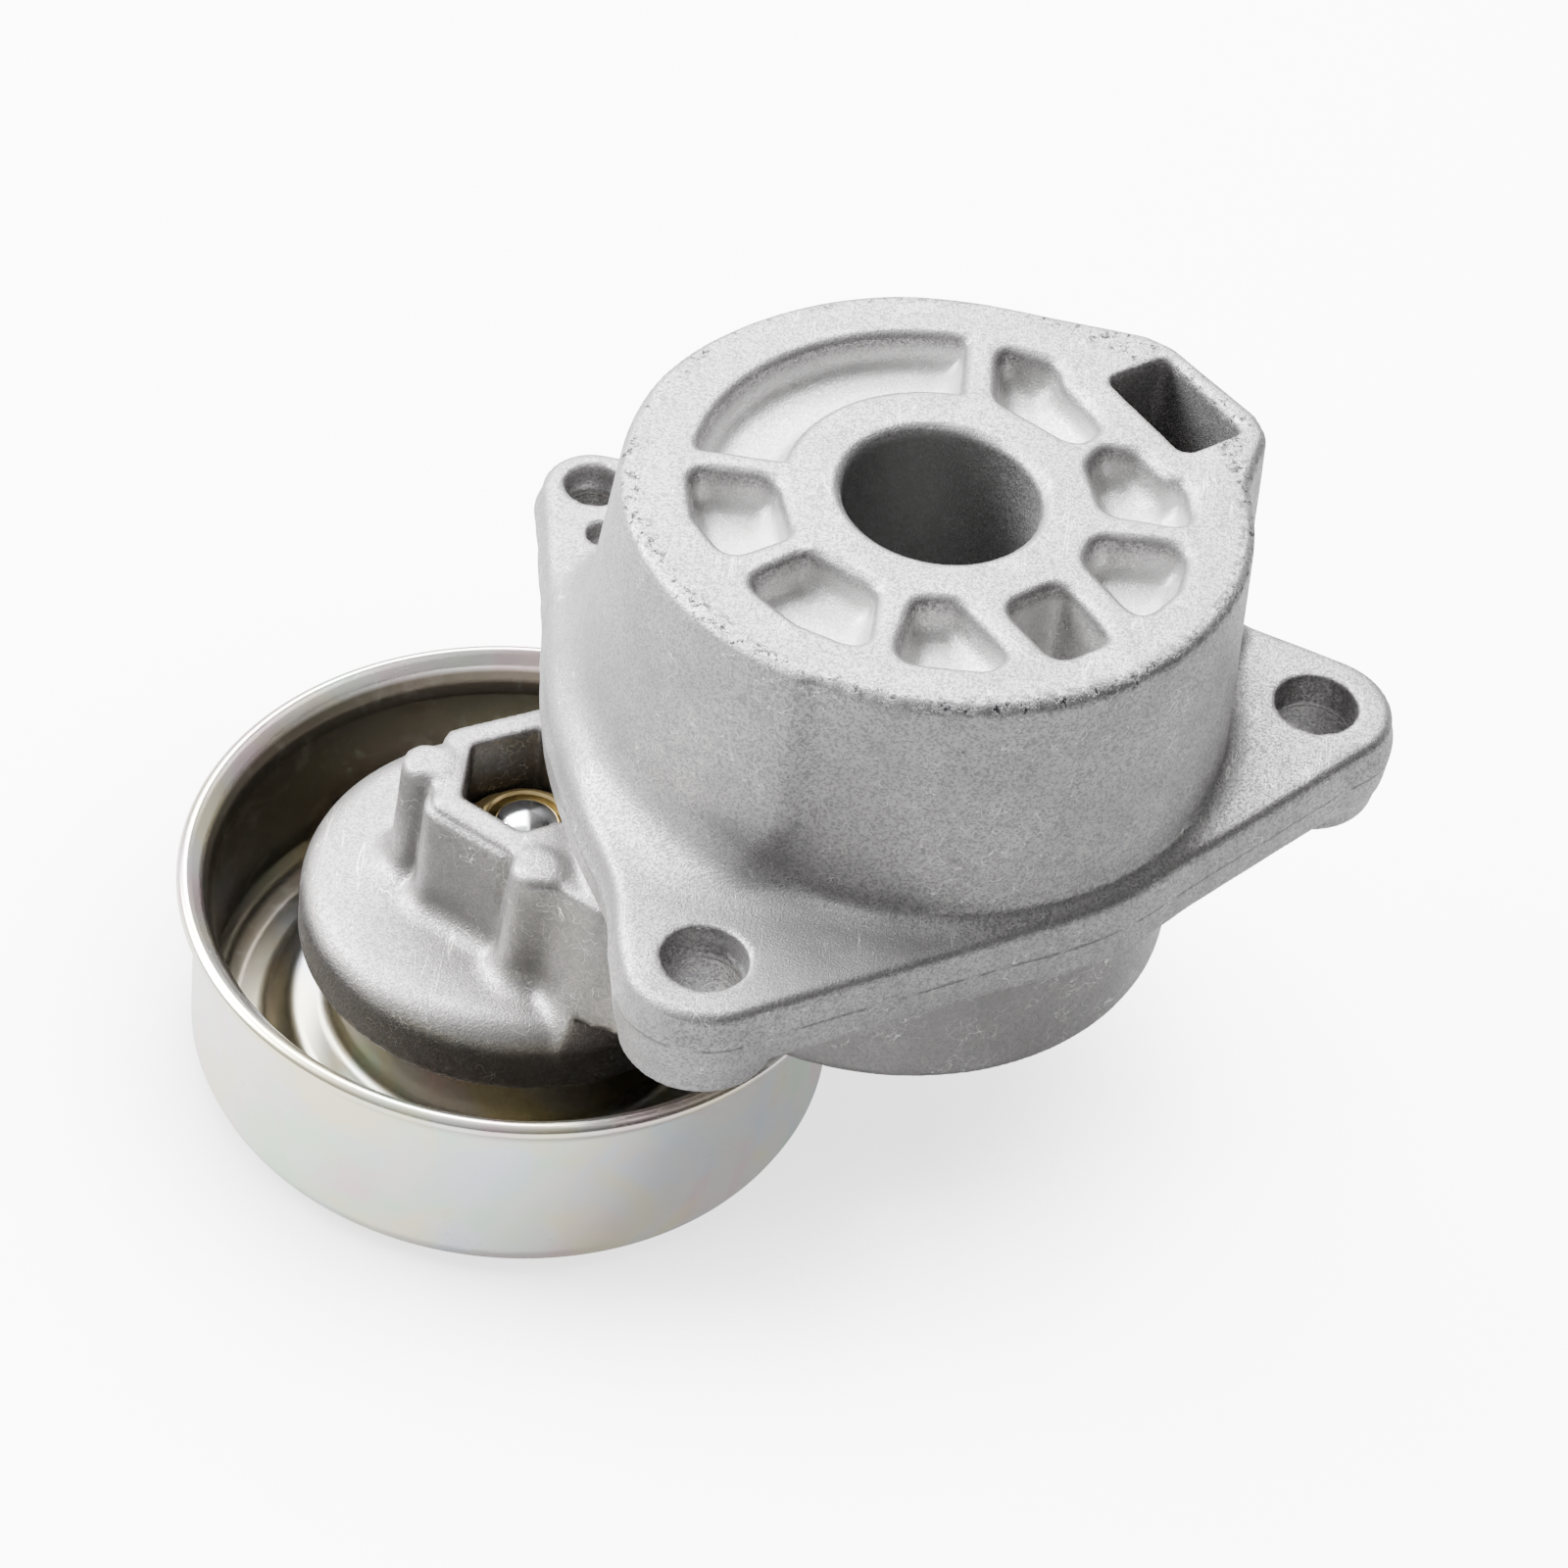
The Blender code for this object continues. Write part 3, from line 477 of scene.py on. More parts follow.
class NodeSheet:
    """Adds nodes to one node tree and links them."""

    def __init__(self, tree: bpy.types.NodeTree) -> None:
        """Work on a tree.

        Args:
            tree: The material's or group's node tree.
        """
        self.tree = tree

    def add(self, kind: str, inputs: dict | None = None, **settings: object) -> bpy.types.Node:
        """Add a node.

        Args:
            kind: The node's type, without its ShaderNode prefix.
            inputs: Socket name or number to a plain value or to the output that feeds it.
            **settings: Attributes of the node.

        Returns:
            The new node.
        """
        node = self.tree.nodes.new("ShaderNode" + kind)
        for name, value in settings.items():
            setattr(node, name, value)
        self.feed(node, inputs or {})
        return node

    def feed(self, node: bpy.types.Node, inputs: dict) -> None:
        """Fill a node's sockets.

        Args:
            node: The node.
            inputs: Socket name or number to a plain value or to the output that feeds it.
        """
        for socket, value in inputs.items():
            if isinstance(value, bpy.types.NodeSocket):
                self.tree.links.new(value, node.inputs[socket])
            else:
                node.inputs[socket].default_value = value

    def math(self, operation: str, *values: object, clamp: bool = False) -> bpy.types.NodeSocket:
        """Add a maths node.

        Args:
            operation: Blender's name of the operation.
            *values: Numbers or outputs.
            clamp: Keep the result between 0 and 1.

        Returns:
            Its output.
        """
        return self.add("Math", dict(enumerate(values)), operation=operation, use_clamp=clamp).outputs[0]

    def ramp(self, value: bpy.types.NodeSocket, low: float, high: float,
             to_low: float = 0.0, to_high: float = 1.0) -> bpy.types.NodeSocket:
        """Map a value smoothly from one range to another.

        Args:
            value: The output to map.
            low: Value that gives to_low.
            high: Value that gives to_high.
            to_low: Result at low.
            to_high: Result at high.

        Returns:
            The mapped output.
        """
        inputs = {"Value": value, "From Min": low, "From Max": high, "To Min": to_low, "To Max": to_high}
        return self.add("MapRange", inputs, interpolation_type="SMOOTHSTEP").outputs["Result"]

    def mix(self, share: object, first: object, second: object) -> bpy.types.NodeSocket:
        """Mix two colours.

        Args:
            share: How much of the second colour shows.
            first: First colour.
            second: Second colour.

        Returns:
            The mixed colour.
        """
        return self.add("Mix", {0: share, 6: first, 7: second}, data_type="RGBA").outputs[2]

    def noise(self, where: bpy.types.NodeSocket, scale: object, detail: float = 2.0,
              roughness: float = 0.5, distortion: float = 0.0) -> bpy.types.NodeSocket:
        """Add a noise texture.

        Args:
            where: Coordinates, in millimetres.
            scale: Waves in a millimetre, or the output that gives them.
            detail: Number of finer layers.
            roughness: Strength of the finer layers.
            distortion: How much the pattern is warped.

        Returns:
            Its value.
        """
        inputs = {"Vector": where, "Scale": scale, "Detail": detail, "Roughness": roughness,
                  "Distortion": distortion}
        return self.add("TexNoise", inputs).outputs["Fac"]


def rgba(colour: tuple[float, float, float]) -> tuple[float, float, float, float]:
    """A colour with full alpha."""
    return (*colour, 1.0)


class Effect(Enum):
    """The surface effects that several materials share."""

    PLACE = "place in millimetres"
    CAST_GRAIN = "cast grain"
    MOTTLE = "mottle"
    HANDLING = "handling marks"


def group_tree(effect: Effect, inputs: dict[str, tuple[str, float]],
               outputs: dict[str, str]) -> tuple[NodeSheet, bpy.types.Node, bpy.types.Node]:
    """Start a shader group with named sockets.

    Args:
        effect: Which effect it makes.
        inputs: Input name to its socket type and default.
        outputs: Output name to its socket type.

    Returns:
        A sheet for adding nodes to the group, and its input and output nodes.
    """
    tree = bpy.data.node_groups.new(effect.value, "ShaderNodeTree")
    for name, (kind, default) in inputs.items():
        socket = tree.interface.new_socket(name=name, in_out="INPUT", socket_type="NodeSocket" + kind)
        if kind == "Float":
            socket.default_value = default
    for name, kind in outputs.items():
        tree.interface.new_socket(name=name, in_out="OUTPUT", socket_type="NodeSocket" + kind)
    return NodeSheet(tree), tree.nodes.new("NodeGroupInput"), tree.nodes.new("NodeGroupOutput")


def build_place() -> bpy.types.NodeTree:
    """Group with a point's place in millimetres, plain and wrapped round a vertical axis, and its radius.

    Returns:
        The group.
    """
    sheet, given, result = group_tree(
        Effect.PLACE, {"Axis X": ("Float", 0.0), "Axis Y": ("Float", 0.0)},
        {"Place": "Vector", "Radius": "Float", "Height": "Float", "Wrapped": "Vector"})
    spot = sheet.add("TexCoord").outputs["Object"]
    place = sheet.add("VectorMath", {0: spot, "Scale": 1000.0}, operation="SCALE").outputs[0]
    parts = sheet.add("SeparateXYZ", {0: place})
    dx = sheet.math("SUBTRACT", parts.outputs[0], given.outputs["Axis X"])
    dy = sheet.math("SUBTRACT", parts.outputs[1], given.outputs["Axis Y"])
    square = sheet.math("ADD", sheet.math("MULTIPLY", dx, dx), sheet.math("MULTIPLY", dy, dy))
    radius = sheet.math("SQRT", square)
    angle = sheet.math("ARCTAN2", dy, dx)
    wrapped = sheet.add("CombineXYZ", {0: radius, 1: sheet.math("MULTIPLY", angle, 4.0),
                                       2: parts.outputs[2]}).outputs[0]
    sheet.feed(result, {"Place": place, "Radius": radius, "Height": parts.outputs[2], "Wrapped": wrapped})
    return sheet.tree


def build_cast_grain() -> bpy.types.NodeTree:
    """Group with the fine sparkling grain and the small pits of a blasted die casting.

    Returns:
        The group.
    """
    sheet, given, result = group_tree(
        Effect.CAST_GRAIN, {"Place": ("Vector", 0.0), "Grain": ("Float", 3.0), "Pits": ("Float", 0.5)},
        {"Height": "Float", "Sparkle": "Float", "Pit": "Float"})
    place = given.outputs["Place"]
    fine = sheet.noise(place, given.outputs["Grain"], 3.0, 0.65)
    finer = sheet.math("MULTIPLY", given.outputs["Grain"], 1.2)
    cells = sheet.add("TexVoronoi", {"Vector": place, "Scale": finer})
    sparkle = sheet.add("SeparateColor", {0: cells.outputs["Color"]}).outputs[0]
    pits = sheet.noise(place, 0.9, 4.0, 0.7)
    patches = sheet.noise(place, 0.06, 2.0)
    edge = sheet.math("ADD", 0.80, sheet.math("MULTIPLY", given.outputs["Pits"], -0.12))
    edge = sheet.math("SUBTRACT", edge, sheet.math("MULTIPLY", patches, 0.06))
    pit = sheet.math("MULTIPLY", sheet.math("SUBTRACT", pits, edge, clamp=True), 14.0, clamp=True)
    sheet.feed(result, {"Height": fine, "Sparkle": sparkle, "Pit": pit})
    return sheet.tree


def build_mottle() -> bpy.types.NodeTree:
    """Group with the slow change of tone over a surface, from 0 to 1 about a half.

    Returns:
        The group.
    """
    sheet, given, result = group_tree(Effect.MOTTLE, {"Place": ("Vector", 0.0), "Size": ("Float", 8.0)},
                             {"Tone": "Float"})
    scale = sheet.math("DIVIDE", 1.0, given.outputs["Size"])
    broad = sheet.noise(given.outputs["Place"], scale, 3.0, 0.6, 0.6)
    sheet.feed(result, {"Tone": sheet.ramp(broad, 0.28, 0.72)})
    return sheet.tree


def build_handling() -> bpy.types.NodeTree:
    """Group with thin scratches and soft smudges from handling.

    Returns:
        The group.
    """
    sheet, given, result = group_tree(Effect.HANDLING, {"Place": ("Vector", 0.0), "Amount": ("Float", 0.5)},
                             {"Scratch": "Float", "Smudge": "Float"})
    place = given.outputs["Place"]
    total: bpy.types.NodeSocket | None = None
    for turn, stretch, offset in ((0.6, 0.035, 3.0), (-0.9, 0.05, 11.0), (2.2, 0.04, 23.0)):
        lined = sheet.add("Mapping", {"Vector": place, "Location": (offset, -offset, offset),
                                      "Rotation": (0.5 * turn, turn, 1.3 * turn),
                                      "Scale": (0.55, stretch, 0.55)}).outputs[0]
        wave = sheet.noise(lined, 1.0, 1.0, 0.5, 0.4)
        line = sheet.math("SUBTRACT", 1.0, sheet.math("MULTIPLY", 150.0, sheet.math(
            "ABSOLUTE", sheet.math("SUBTRACT", wave, 0.5))), clamp=True)
        parts = sheet.ramp(sheet.noise(place, 0.11 + 0.03 * turn, 2.0), 0.53, 0.62)
        line = sheet.math("MULTIPLY", line, parts)
        total = line if total is None else sheet.math("MAXIMUM", total, line)
    smudge = sheet.ramp(sheet.noise(place, 0.16, 4.0, 0.62, 1.2), 0.52, 0.70)
    sheet.feed(result, {"Scratch": sheet.math("MULTIPLY", total, given.outputs["Amount"]),
                        "Smudge": sheet.math("MULTIPLY", smudge, given.outputs["Amount"])})
    return sheet.tree


class Effects:
    """The shared shader groups, each built once."""

    BUILDERS = {Effect.PLACE: build_place, Effect.CAST_GRAIN: build_cast_grain,
                Effect.MOTTLE: build_mottle, Effect.HANDLING: build_handling}

    @classmethod
    def put(cls, sheet: NodeSheet, effect: Effect, inputs: dict | None = None) -> bpy.types.Node:
        """Place an effect in a material.

        Args:
            sheet: The material's sheet.
            effect: Which effect.
            inputs: Values or outputs for its sockets.

        Returns:
            The group node.
        """
        tree = bpy.data.node_groups.get(effect.value) or cls.BUILDERS[effect]()
        return sheet.add("Group", inputs, node_tree=tree)


def new_material(name: str) -> tuple[bpy.types.Material, NodeSheet, bpy.types.Node]:
    """Start a material with a Principled shader.

    Args:
        name: The material's name.

    Returns:
        The material, a sheet for its nodes, and its Principled node.
    """
    material = bpy.data.materials.new(name)
    material.use_nodes = True
    return material, NodeSheet(material.node_tree), material.node_tree.nodes["Principled BSDF"]


def dress(sheet: NodeSheet, shader: bpy.types.Node, colour: bpy.types.NodeSocket, rough: bpy.types.NodeSocket,
          height: bpy.types.NodeSocket, strength: float, distance: float) -> None:
    """Feed a finish's changing values to its Principled node.

    Args:
        sheet: The material's sheet.
        shader: The Principled node.
        colour: Base colour.
        rough: Roughness.
        height: Height of the fine relief.
        strength: Strength of the relief.
        distance: Depth of the relief in metres.
    """
    bump = sheet.add("Bump", {"Height": height, "Strength": strength, "Distance": distance})
    sheet.feed(shader, {"Base Color": colour, "Roughness": rough, "Normal": bump.outputs[0]})


# ------------------------------------------------------------------ finishes

@dataclass(frozen=True)
class CastAluminium:
    """Blasted die-cast aluminium.

    Attributes:
        name: The material's name.
        tone: Base colour.
        roughness: Middle roughness.
        parting: Height of the die's parting line, or None.
        rim: Height of the outer edge that is nicked and rubbed dark, and the level below which the pockets
            get painted light and the bore painted shade, or None.
        drawn: How much darker the upright walls are painted: painted shade on the faces that stand sideways.
        axis: Where the vertical axis stands.
    """

    name: str
    tone: tuple[float, float, float] = (0.42, 0.408, 0.41)
    roughness: float = 0.46
    parting: float | None = None
    rim: float | None = None
    drawn: float = 0.12
    axis: Point = (0.0, 0.0)

    def material(self) -> bpy.types.Material:
        """Build the material."""
        material, sheet, shader = new_material(self.name)
        place = Effects.put(sheet, Effect.PLACE, {"Axis X": self.axis[0], "Axis Y": self.axis[1]})
        where = place.outputs["Place"]
        grain = Effects.put(sheet, Effect.CAST_GRAIN, {"Place": where, "Grain": 4.0, "Pits": 0.5})
        mottle = Effects.put(sheet, Effect.MOTTLE, {"Place": where, "Size": 7.0})
        marks = Effects.put(sheet, Effect.HANDLING, {"Place": where, "Amount": 0.8})
        dark = tuple(c * 0.86 for c in self.tone)
        light = tuple(min(1.0, c * 1.07) for c in self.tone)
        colour = sheet.mix(mottle.outputs["Tone"], rgba(dark), rgba(light))
        # Painted shade: faces whose normals lean away from vertical are darkened towards near black, by the
        # amount set in drawn.
        facing = sheet.add("SeparateXYZ", {0: sheet.add("NewGeometry").outputs["Normal"]}).outputs["Z"]
        upright = sheet.ramp(sheet.math("ABSOLUTE", facing), 0.65, 0.15)
        colour = sheet.mix(sheet.math("MULTIPLY", upright, self.drawn), colour, rgba((0.06, 0.06, 0.062)))
        speck = sheet.ramp(grain.outputs["Sparkle"], 0.2, 1.0, 0.0, 0.75)
        colour = sheet.mix(speck, colour, rgba((0.20, 0.20, 0.205)))
        colour = sheet.mix(sheet.math("MULTIPLY", marks.outputs["Smudge"], 0.20), colour,
                           rgba((0.24, 0.24, 0.245)))
        colour = sheet.mix(grain.outputs["Pit"], colour, rgba((0.07, 0.07, 0.075)))
        colour = sheet.mix(marks.outputs["Scratch"], colour, rgba((0.80, 0.79, 0.78)))
        rough = sheet.ramp(grain.outputs["Sparkle"], 0.0, 1.0, self.roughness - 0.10,
                           self.roughness + 0.12)
        height = sheet.math("ADD", grain.outputs["Height"],
                            sheet.math("MULTIPLY", grain.outputs["Pit"], -0.8))
        if self.rim is not None:
            # Painted light in the pockets and painted shade in the bore.
            colour = self.painted_recess_light_and_shade(sheet, place, colour)
            worn = self.worn_rim(sheet, place)
            colour = sheet.mix(worn, colour, rgba((0.045, 0.045, 0.05)))
            height = sheet.math("SUBTRACT", height, sheet.math("MULTIPLY", worn, 1.2))
        if self.parting is not None:
            line = self.parting_line(sheet, place)
            colour = sheet.mix(sheet.math("MULTIPLY", line, 0.65), colour, rgba((0.12, 0.12, 0.125)))
            height = sheet.math("SUBTRACT", height, line)
        dress(sheet, shader, colour, rough, height, 0.75, 0.0001)
        shader.inputs["Metallic"].default_value = 0.88
        return material

    def painted_recess_light_and_shade(self, sheet: NodeSheet, place: bpy.types.Node,
                      colour: bpy.types.NodeSocket) -> bpy.types.NodeSocket:
        """Paint light into the pockets and paint shade into the bore.

        Args:
            sheet: The material's sheet.
            place: The place group in it.
            colour: The colour so far.

        Returns:
            The new colour.
        """
        radius, level = place.outputs["Radius"], place.outputs["Height"]
        below = sheet.ramp(level, self.rim - 1.0, self.rim - 2.4)
        # Painted light: pocket faces below the rim, inside 28 mm radius, are brightened.
        painted_pocket_light = sheet.math("MULTIPLY", below, sheet.ramp(radius, 28.0, 26.6))
        colour = sheet.mix(sheet.math("MULTIPLY", painted_pocket_light, 0.75), colour, rgba((0.62, 0.615, 0.61)))
        # Painted shade: the bore is darkened from just below its mouth downwards.
        bore = sheet.math("MULTIPLY", sheet.ramp(radius, 10.8, 10.4),
                          sheet.ramp(level, self.rim - 0.4, self.rim - 1.4))
        return sheet.mix(bore, colour, rgba((0.27, 0.27, 0.27)))

    def worn_rim(self, sheet: NodeSheet, place: bpy.types.Node) -> bpy.types.NodeSocket:
        """Mask of the nicks and dark rubs on the outer edge of the closed end.

        Args:
            sheet: The material's sheet.
            place: The place group in it.

        Returns:
            The mask.
        """
        near_edge = sheet.ramp(place.outputs["Radius"], 29.8, 31.6)
        near_top = sheet.ramp(place.outputs["Height"], self.rim - 1.6, self.rim - 0.5)
        band = sheet.math("MULTIPLY", near_edge, near_top)
        along = sheet.noise(place.outputs["Wrapped"], 0.18, 2.0)
        chips = sheet.noise(place.outputs["Place"], 0.9, 6.0, 0.8)
        need = sheet.math("SUBTRACT", 0.68, sheet.math("MULTIPLY", along, 0.27))
        chip = sheet.math("MULTIPLY", sheet.math("SUBTRACT", chips, need, clamp=True), 12.0, clamp=True)
        return sheet.math("MULTIPLY", band, chip)

    def parting_line(self, sheet: NodeSheet, place: bpy.types.Node) -> bpy.types.NodeSocket:
        """Mask of the thin line where the two halves of the die met.

        Args:
            sheet: The material's sheet.
            place: The place group in it.

        Returns:
            The mask.
        """
        wander = sheet.math("MULTIPLY", sheet.noise(place.outputs["Place"], 0.35, 3.0), 0.35)
        level = sheet.math("SUBTRACT", place.outputs["Height"], self.parting)
        away = sheet.math("ABSOLUTE", sheet.math("ADD", level, wander))
        line = sheet.ramp(away, 0.24, 0.09)
        gaps = sheet.ramp(sheet.noise(place.outputs["Place"], 0.3, 2.0), 0.38, 0.5)
        return sheet.math("MULTIPLY", line, gaps)


@dataclass(frozen=True)
class PlatedSteel:
    """Smooth steel with a thin passivated plating that shimmers in pale tints.

    Attributes:
        name: The material's name.
        tone: Middle colour.
        tints: Colours that drift over the surface.
        roughness: Middle roughness.
        tint_size: Size of a patch of tint.
        axis: Where the vertical axis stands, for the fine turning marks.
        smudges: Strength of the dull marks.
        inside: Height above which the inner faces get painted shade and a painted reflection of the dark arm
            above, tinted by the plating, or None.
    """

    name: str
    tone: tuple[float, float, float]
    tints: tuple[tuple[float, float, float], ...] = ()
    roughness: float = 0.2
    tint_size: float = 16.0
    axis: Point = PULLEY_AXIS
    smudges: float = 0.5
    inside: float | None = None

    def material(self) -> bpy.types.Material:
        """Build the material."""
        material, sheet, shader = new_material(self.name)
        place = Effects.put(sheet, Effect.PLACE, {"Axis X": self.axis[0], "Axis Y": self.axis[1]})
        where = place.outputs["Place"]
        colour: object = rgba(self.tone)
        for number, tint in enumerate(self.tints):
            shifted = sheet.add("VectorMath", {0: where, 1: (37.0 * number, -19.0 * number, 11.0 * number)},
                                operation="ADD").outputs[0]
            patch = sheet.noise(shifted, 1.0 / self.tint_size, 2.0, 0.5, 0.8)
            colour = sheet.mix(sheet.ramp(patch, 0.46, 0.66), colour, rgba(tint))
        # Painted shade and painted reflection: the inner faces below the lip are darkened to a dark greenish
        # brown, most near the outer wall.
        if self.inside is not None:
            flare = sheet.ramp(place.outputs["Height"], -30.8, -28.2, 0.0, 1.9)
            radius = sheet.math("SUBTRACT", place.outputs["Radius"], flare)
            inner_shade_mask = sheet.math("MULTIPLY", sheet.ramp(radius, 34.3, 33.7),
                                sheet.ramp(place.outputs["Height"], self.inside, self.inside + 0.8))
            painted_inner_shade = sheet.mix(sheet.noise(where, 0.09, 2.0), rgba((0.095, 0.098, 0.07)),
                              rgba((0.125, 0.09, 0.068)))
            wall = sheet.ramp(place.outputs["Radius"], 25.5, 31.0, 0.48, 0.97)
            inner_shade_mask = sheet.math("MULTIPLY", inner_shade_mask, sheet.ramp(place.outputs["Height"], -28.6, -29.5))
            colour = sheet.mix(sheet.math("MULTIPLY", inner_shade_mask, wall), colour, painted_inner_shade)
        marks = Effects.put(sheet, Effect.HANDLING, {"Place": where, "Amount": self.smudges})
        colour = sheet.mix(sheet.math("MULTIPLY", marks.outputs["Smudge"], 0.25), colour,
                           rgba(tuple(c * 0.72 for c in self.tone)))
        turned = sheet.noise(sheet.add("VectorMath", {0: place.outputs["Wrapped"], 1: (7.0, 0.25, 7.0)},
                                       operation="MULTIPLY").outputs[0], 1.0, 3.0)
        rough = sheet.math("ADD", self.roughness - 0.04, sheet.math("MULTIPLY", turned, 0.08))
        rough = sheet.math("ADD", rough, sheet.math("MULTIPLY", marks.outputs["Smudge"], 0.07))
        if self.inside is not None:
            rough = sheet.math("ADD", rough, sheet.math("MULTIPLY", inner_shade_mask, 0.07))
        height = sheet.math("ADD", turned, sheet.math("MULTIPLY", marks.outputs["Scratch"], -0.15))
        dress(sheet, shader, colour, rough, height, 0.10, 0.00005)
        shader.inputs["Metallic"].default_value = 1.0
        return material


@dataclass(frozen=True)
class Moulded:
    """Moulded plastic, rubber or sintered metal with a fine even grain.

    Attributes:
        name: The material's name.
        tone: Base colour.
        roughness: Middle roughness.
        metallic: How metallic it is.
        grain: Waves of the grain in a millimetre.
    """

    name: str
    tone: tuple[float, float, float]
    roughness: float = 0.5
    metallic: float = 0.0
    grain: float = 4.0

    def material(self) -> bpy.types.Material:
        """Build the material."""
        material, sheet, shader = new_material(self.name)
        where = Effects.put(sheet, Effect.PLACE).outputs["Place"]
        mottle = Effects.put(sheet, Effect.MOTTLE, {"Place": where, "Size": 5.0})
        grain = Effects.put(sheet, Effect.CAST_GRAIN, {"Place": where, "Grain": self.grain, "Pits": 0.1})
        colour = sheet.mix(mottle.outputs["Tone"], rgba(tuple(c * 0.85 for c in self.tone)), rgba(self.tone))
        rough = sheet.ramp(mottle.outputs["Tone"], 0.0, 1.0, self.roughness - 0.06, self.roughness + 0.06)
        dress(sheet, shader, colour, rough, grain.outputs["Height"], 0.25, 0.00005)
        shader.inputs["Metallic"].default_value = self.metallic
        return material


HOUSING_FINISH = CastAluminium("housing_cast_aluminium", parting=-4.0, rim=28.0)
# Painted shade: the arm's cast aluminium is a darker copy of the housing's, with its upright walls darkened
# more.
ARM_FINISH = CastAluminium("arm_cast_aluminium", tone=(0.345, 0.328, 0.325), roughness=0.40, drawn=0.34)
PULLEY_FINISH = PlatedSteel(
    "pulley_plated_steel", (0.93, 0.92, 0.88),
    ((0.78, 0.94, 0.76), (0.96, 0.78, 0.80), (0.82, 0.88, 0.96), (0.97, 0.91, 0.66)), roughness=0.25,
    smudges=0.3, inside=-51.0)
BEARING_FINISH = PlatedSteel("bearing_ground_steel", (0.66, 0.67, 0.69), roughness=0.16, smudges=0.2)
SPRING_FINISH = PlatedSteel("spring_steel", (0.20, 0.21, 0.23), roughness=0.34, axis=(0.0, 0.0))
YELLOW_ZINC = PlatedSteel("yellow_zinc", (0.66, 0.50, 0.28),
                          ((0.52, 0.50, 0.28), (0.70, 0.46, 0.34)), roughness=0.2, tint_size=3.0)
CLEAR_ZINC = PlatedSteel("clear_zinc", (0.84, 0.86, 0.88), ((0.76, 0.82, 0.90),), roughness=0.16,
                         tint_size=5.0, smudges=0.3)
PLATE_ZINC = PlatedSteel("plate_zinc", (0.78, 0.80, 0.82), ((0.72, 0.76, 0.82),), roughness=0.26,
                         tint_size=6.0, axis=(0.0, 0.0))
NYLON = Moulded("nylon", (0.80, 0.76, 0.64), 0.45)
SEAL_RUBBER = Moulded("seal_rubber", (0.028, 0.028, 0.03), 0.55, grain=6.0)
BRONZE = Moulded("sintered_bronze", (0.55, 0.38, 0.20), 0.38, 1.0, 5.0)
FRICTION = Moulded("friction_compound", (0.09, 0.09, 0.10), 0.6, grain=5.0)


def show(mesh: bpy.types.Mesh, finish: CastAluminium | PlatedSteel | Moulded, body: str, slot: str,
         *nodes: str) -> None:
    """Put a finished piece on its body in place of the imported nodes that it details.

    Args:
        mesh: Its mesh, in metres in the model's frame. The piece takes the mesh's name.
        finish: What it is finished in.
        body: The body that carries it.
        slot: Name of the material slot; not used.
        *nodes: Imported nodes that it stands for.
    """
    piece = bpy.data.objects.new(mesh.name, mesh)
    bpy.context.scene.collection.objects.link(piece)
    mesh.materials.clear()
    mesh.materials.append(bpy.data.materials.get(finish.name) or finish.material())
    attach(piece, body)
    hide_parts(*nodes)
    LOG.info("%s: %d faces on %s", piece.name, len(mesh.polygons), body)


# ------------------------------------------------------------------ the housing

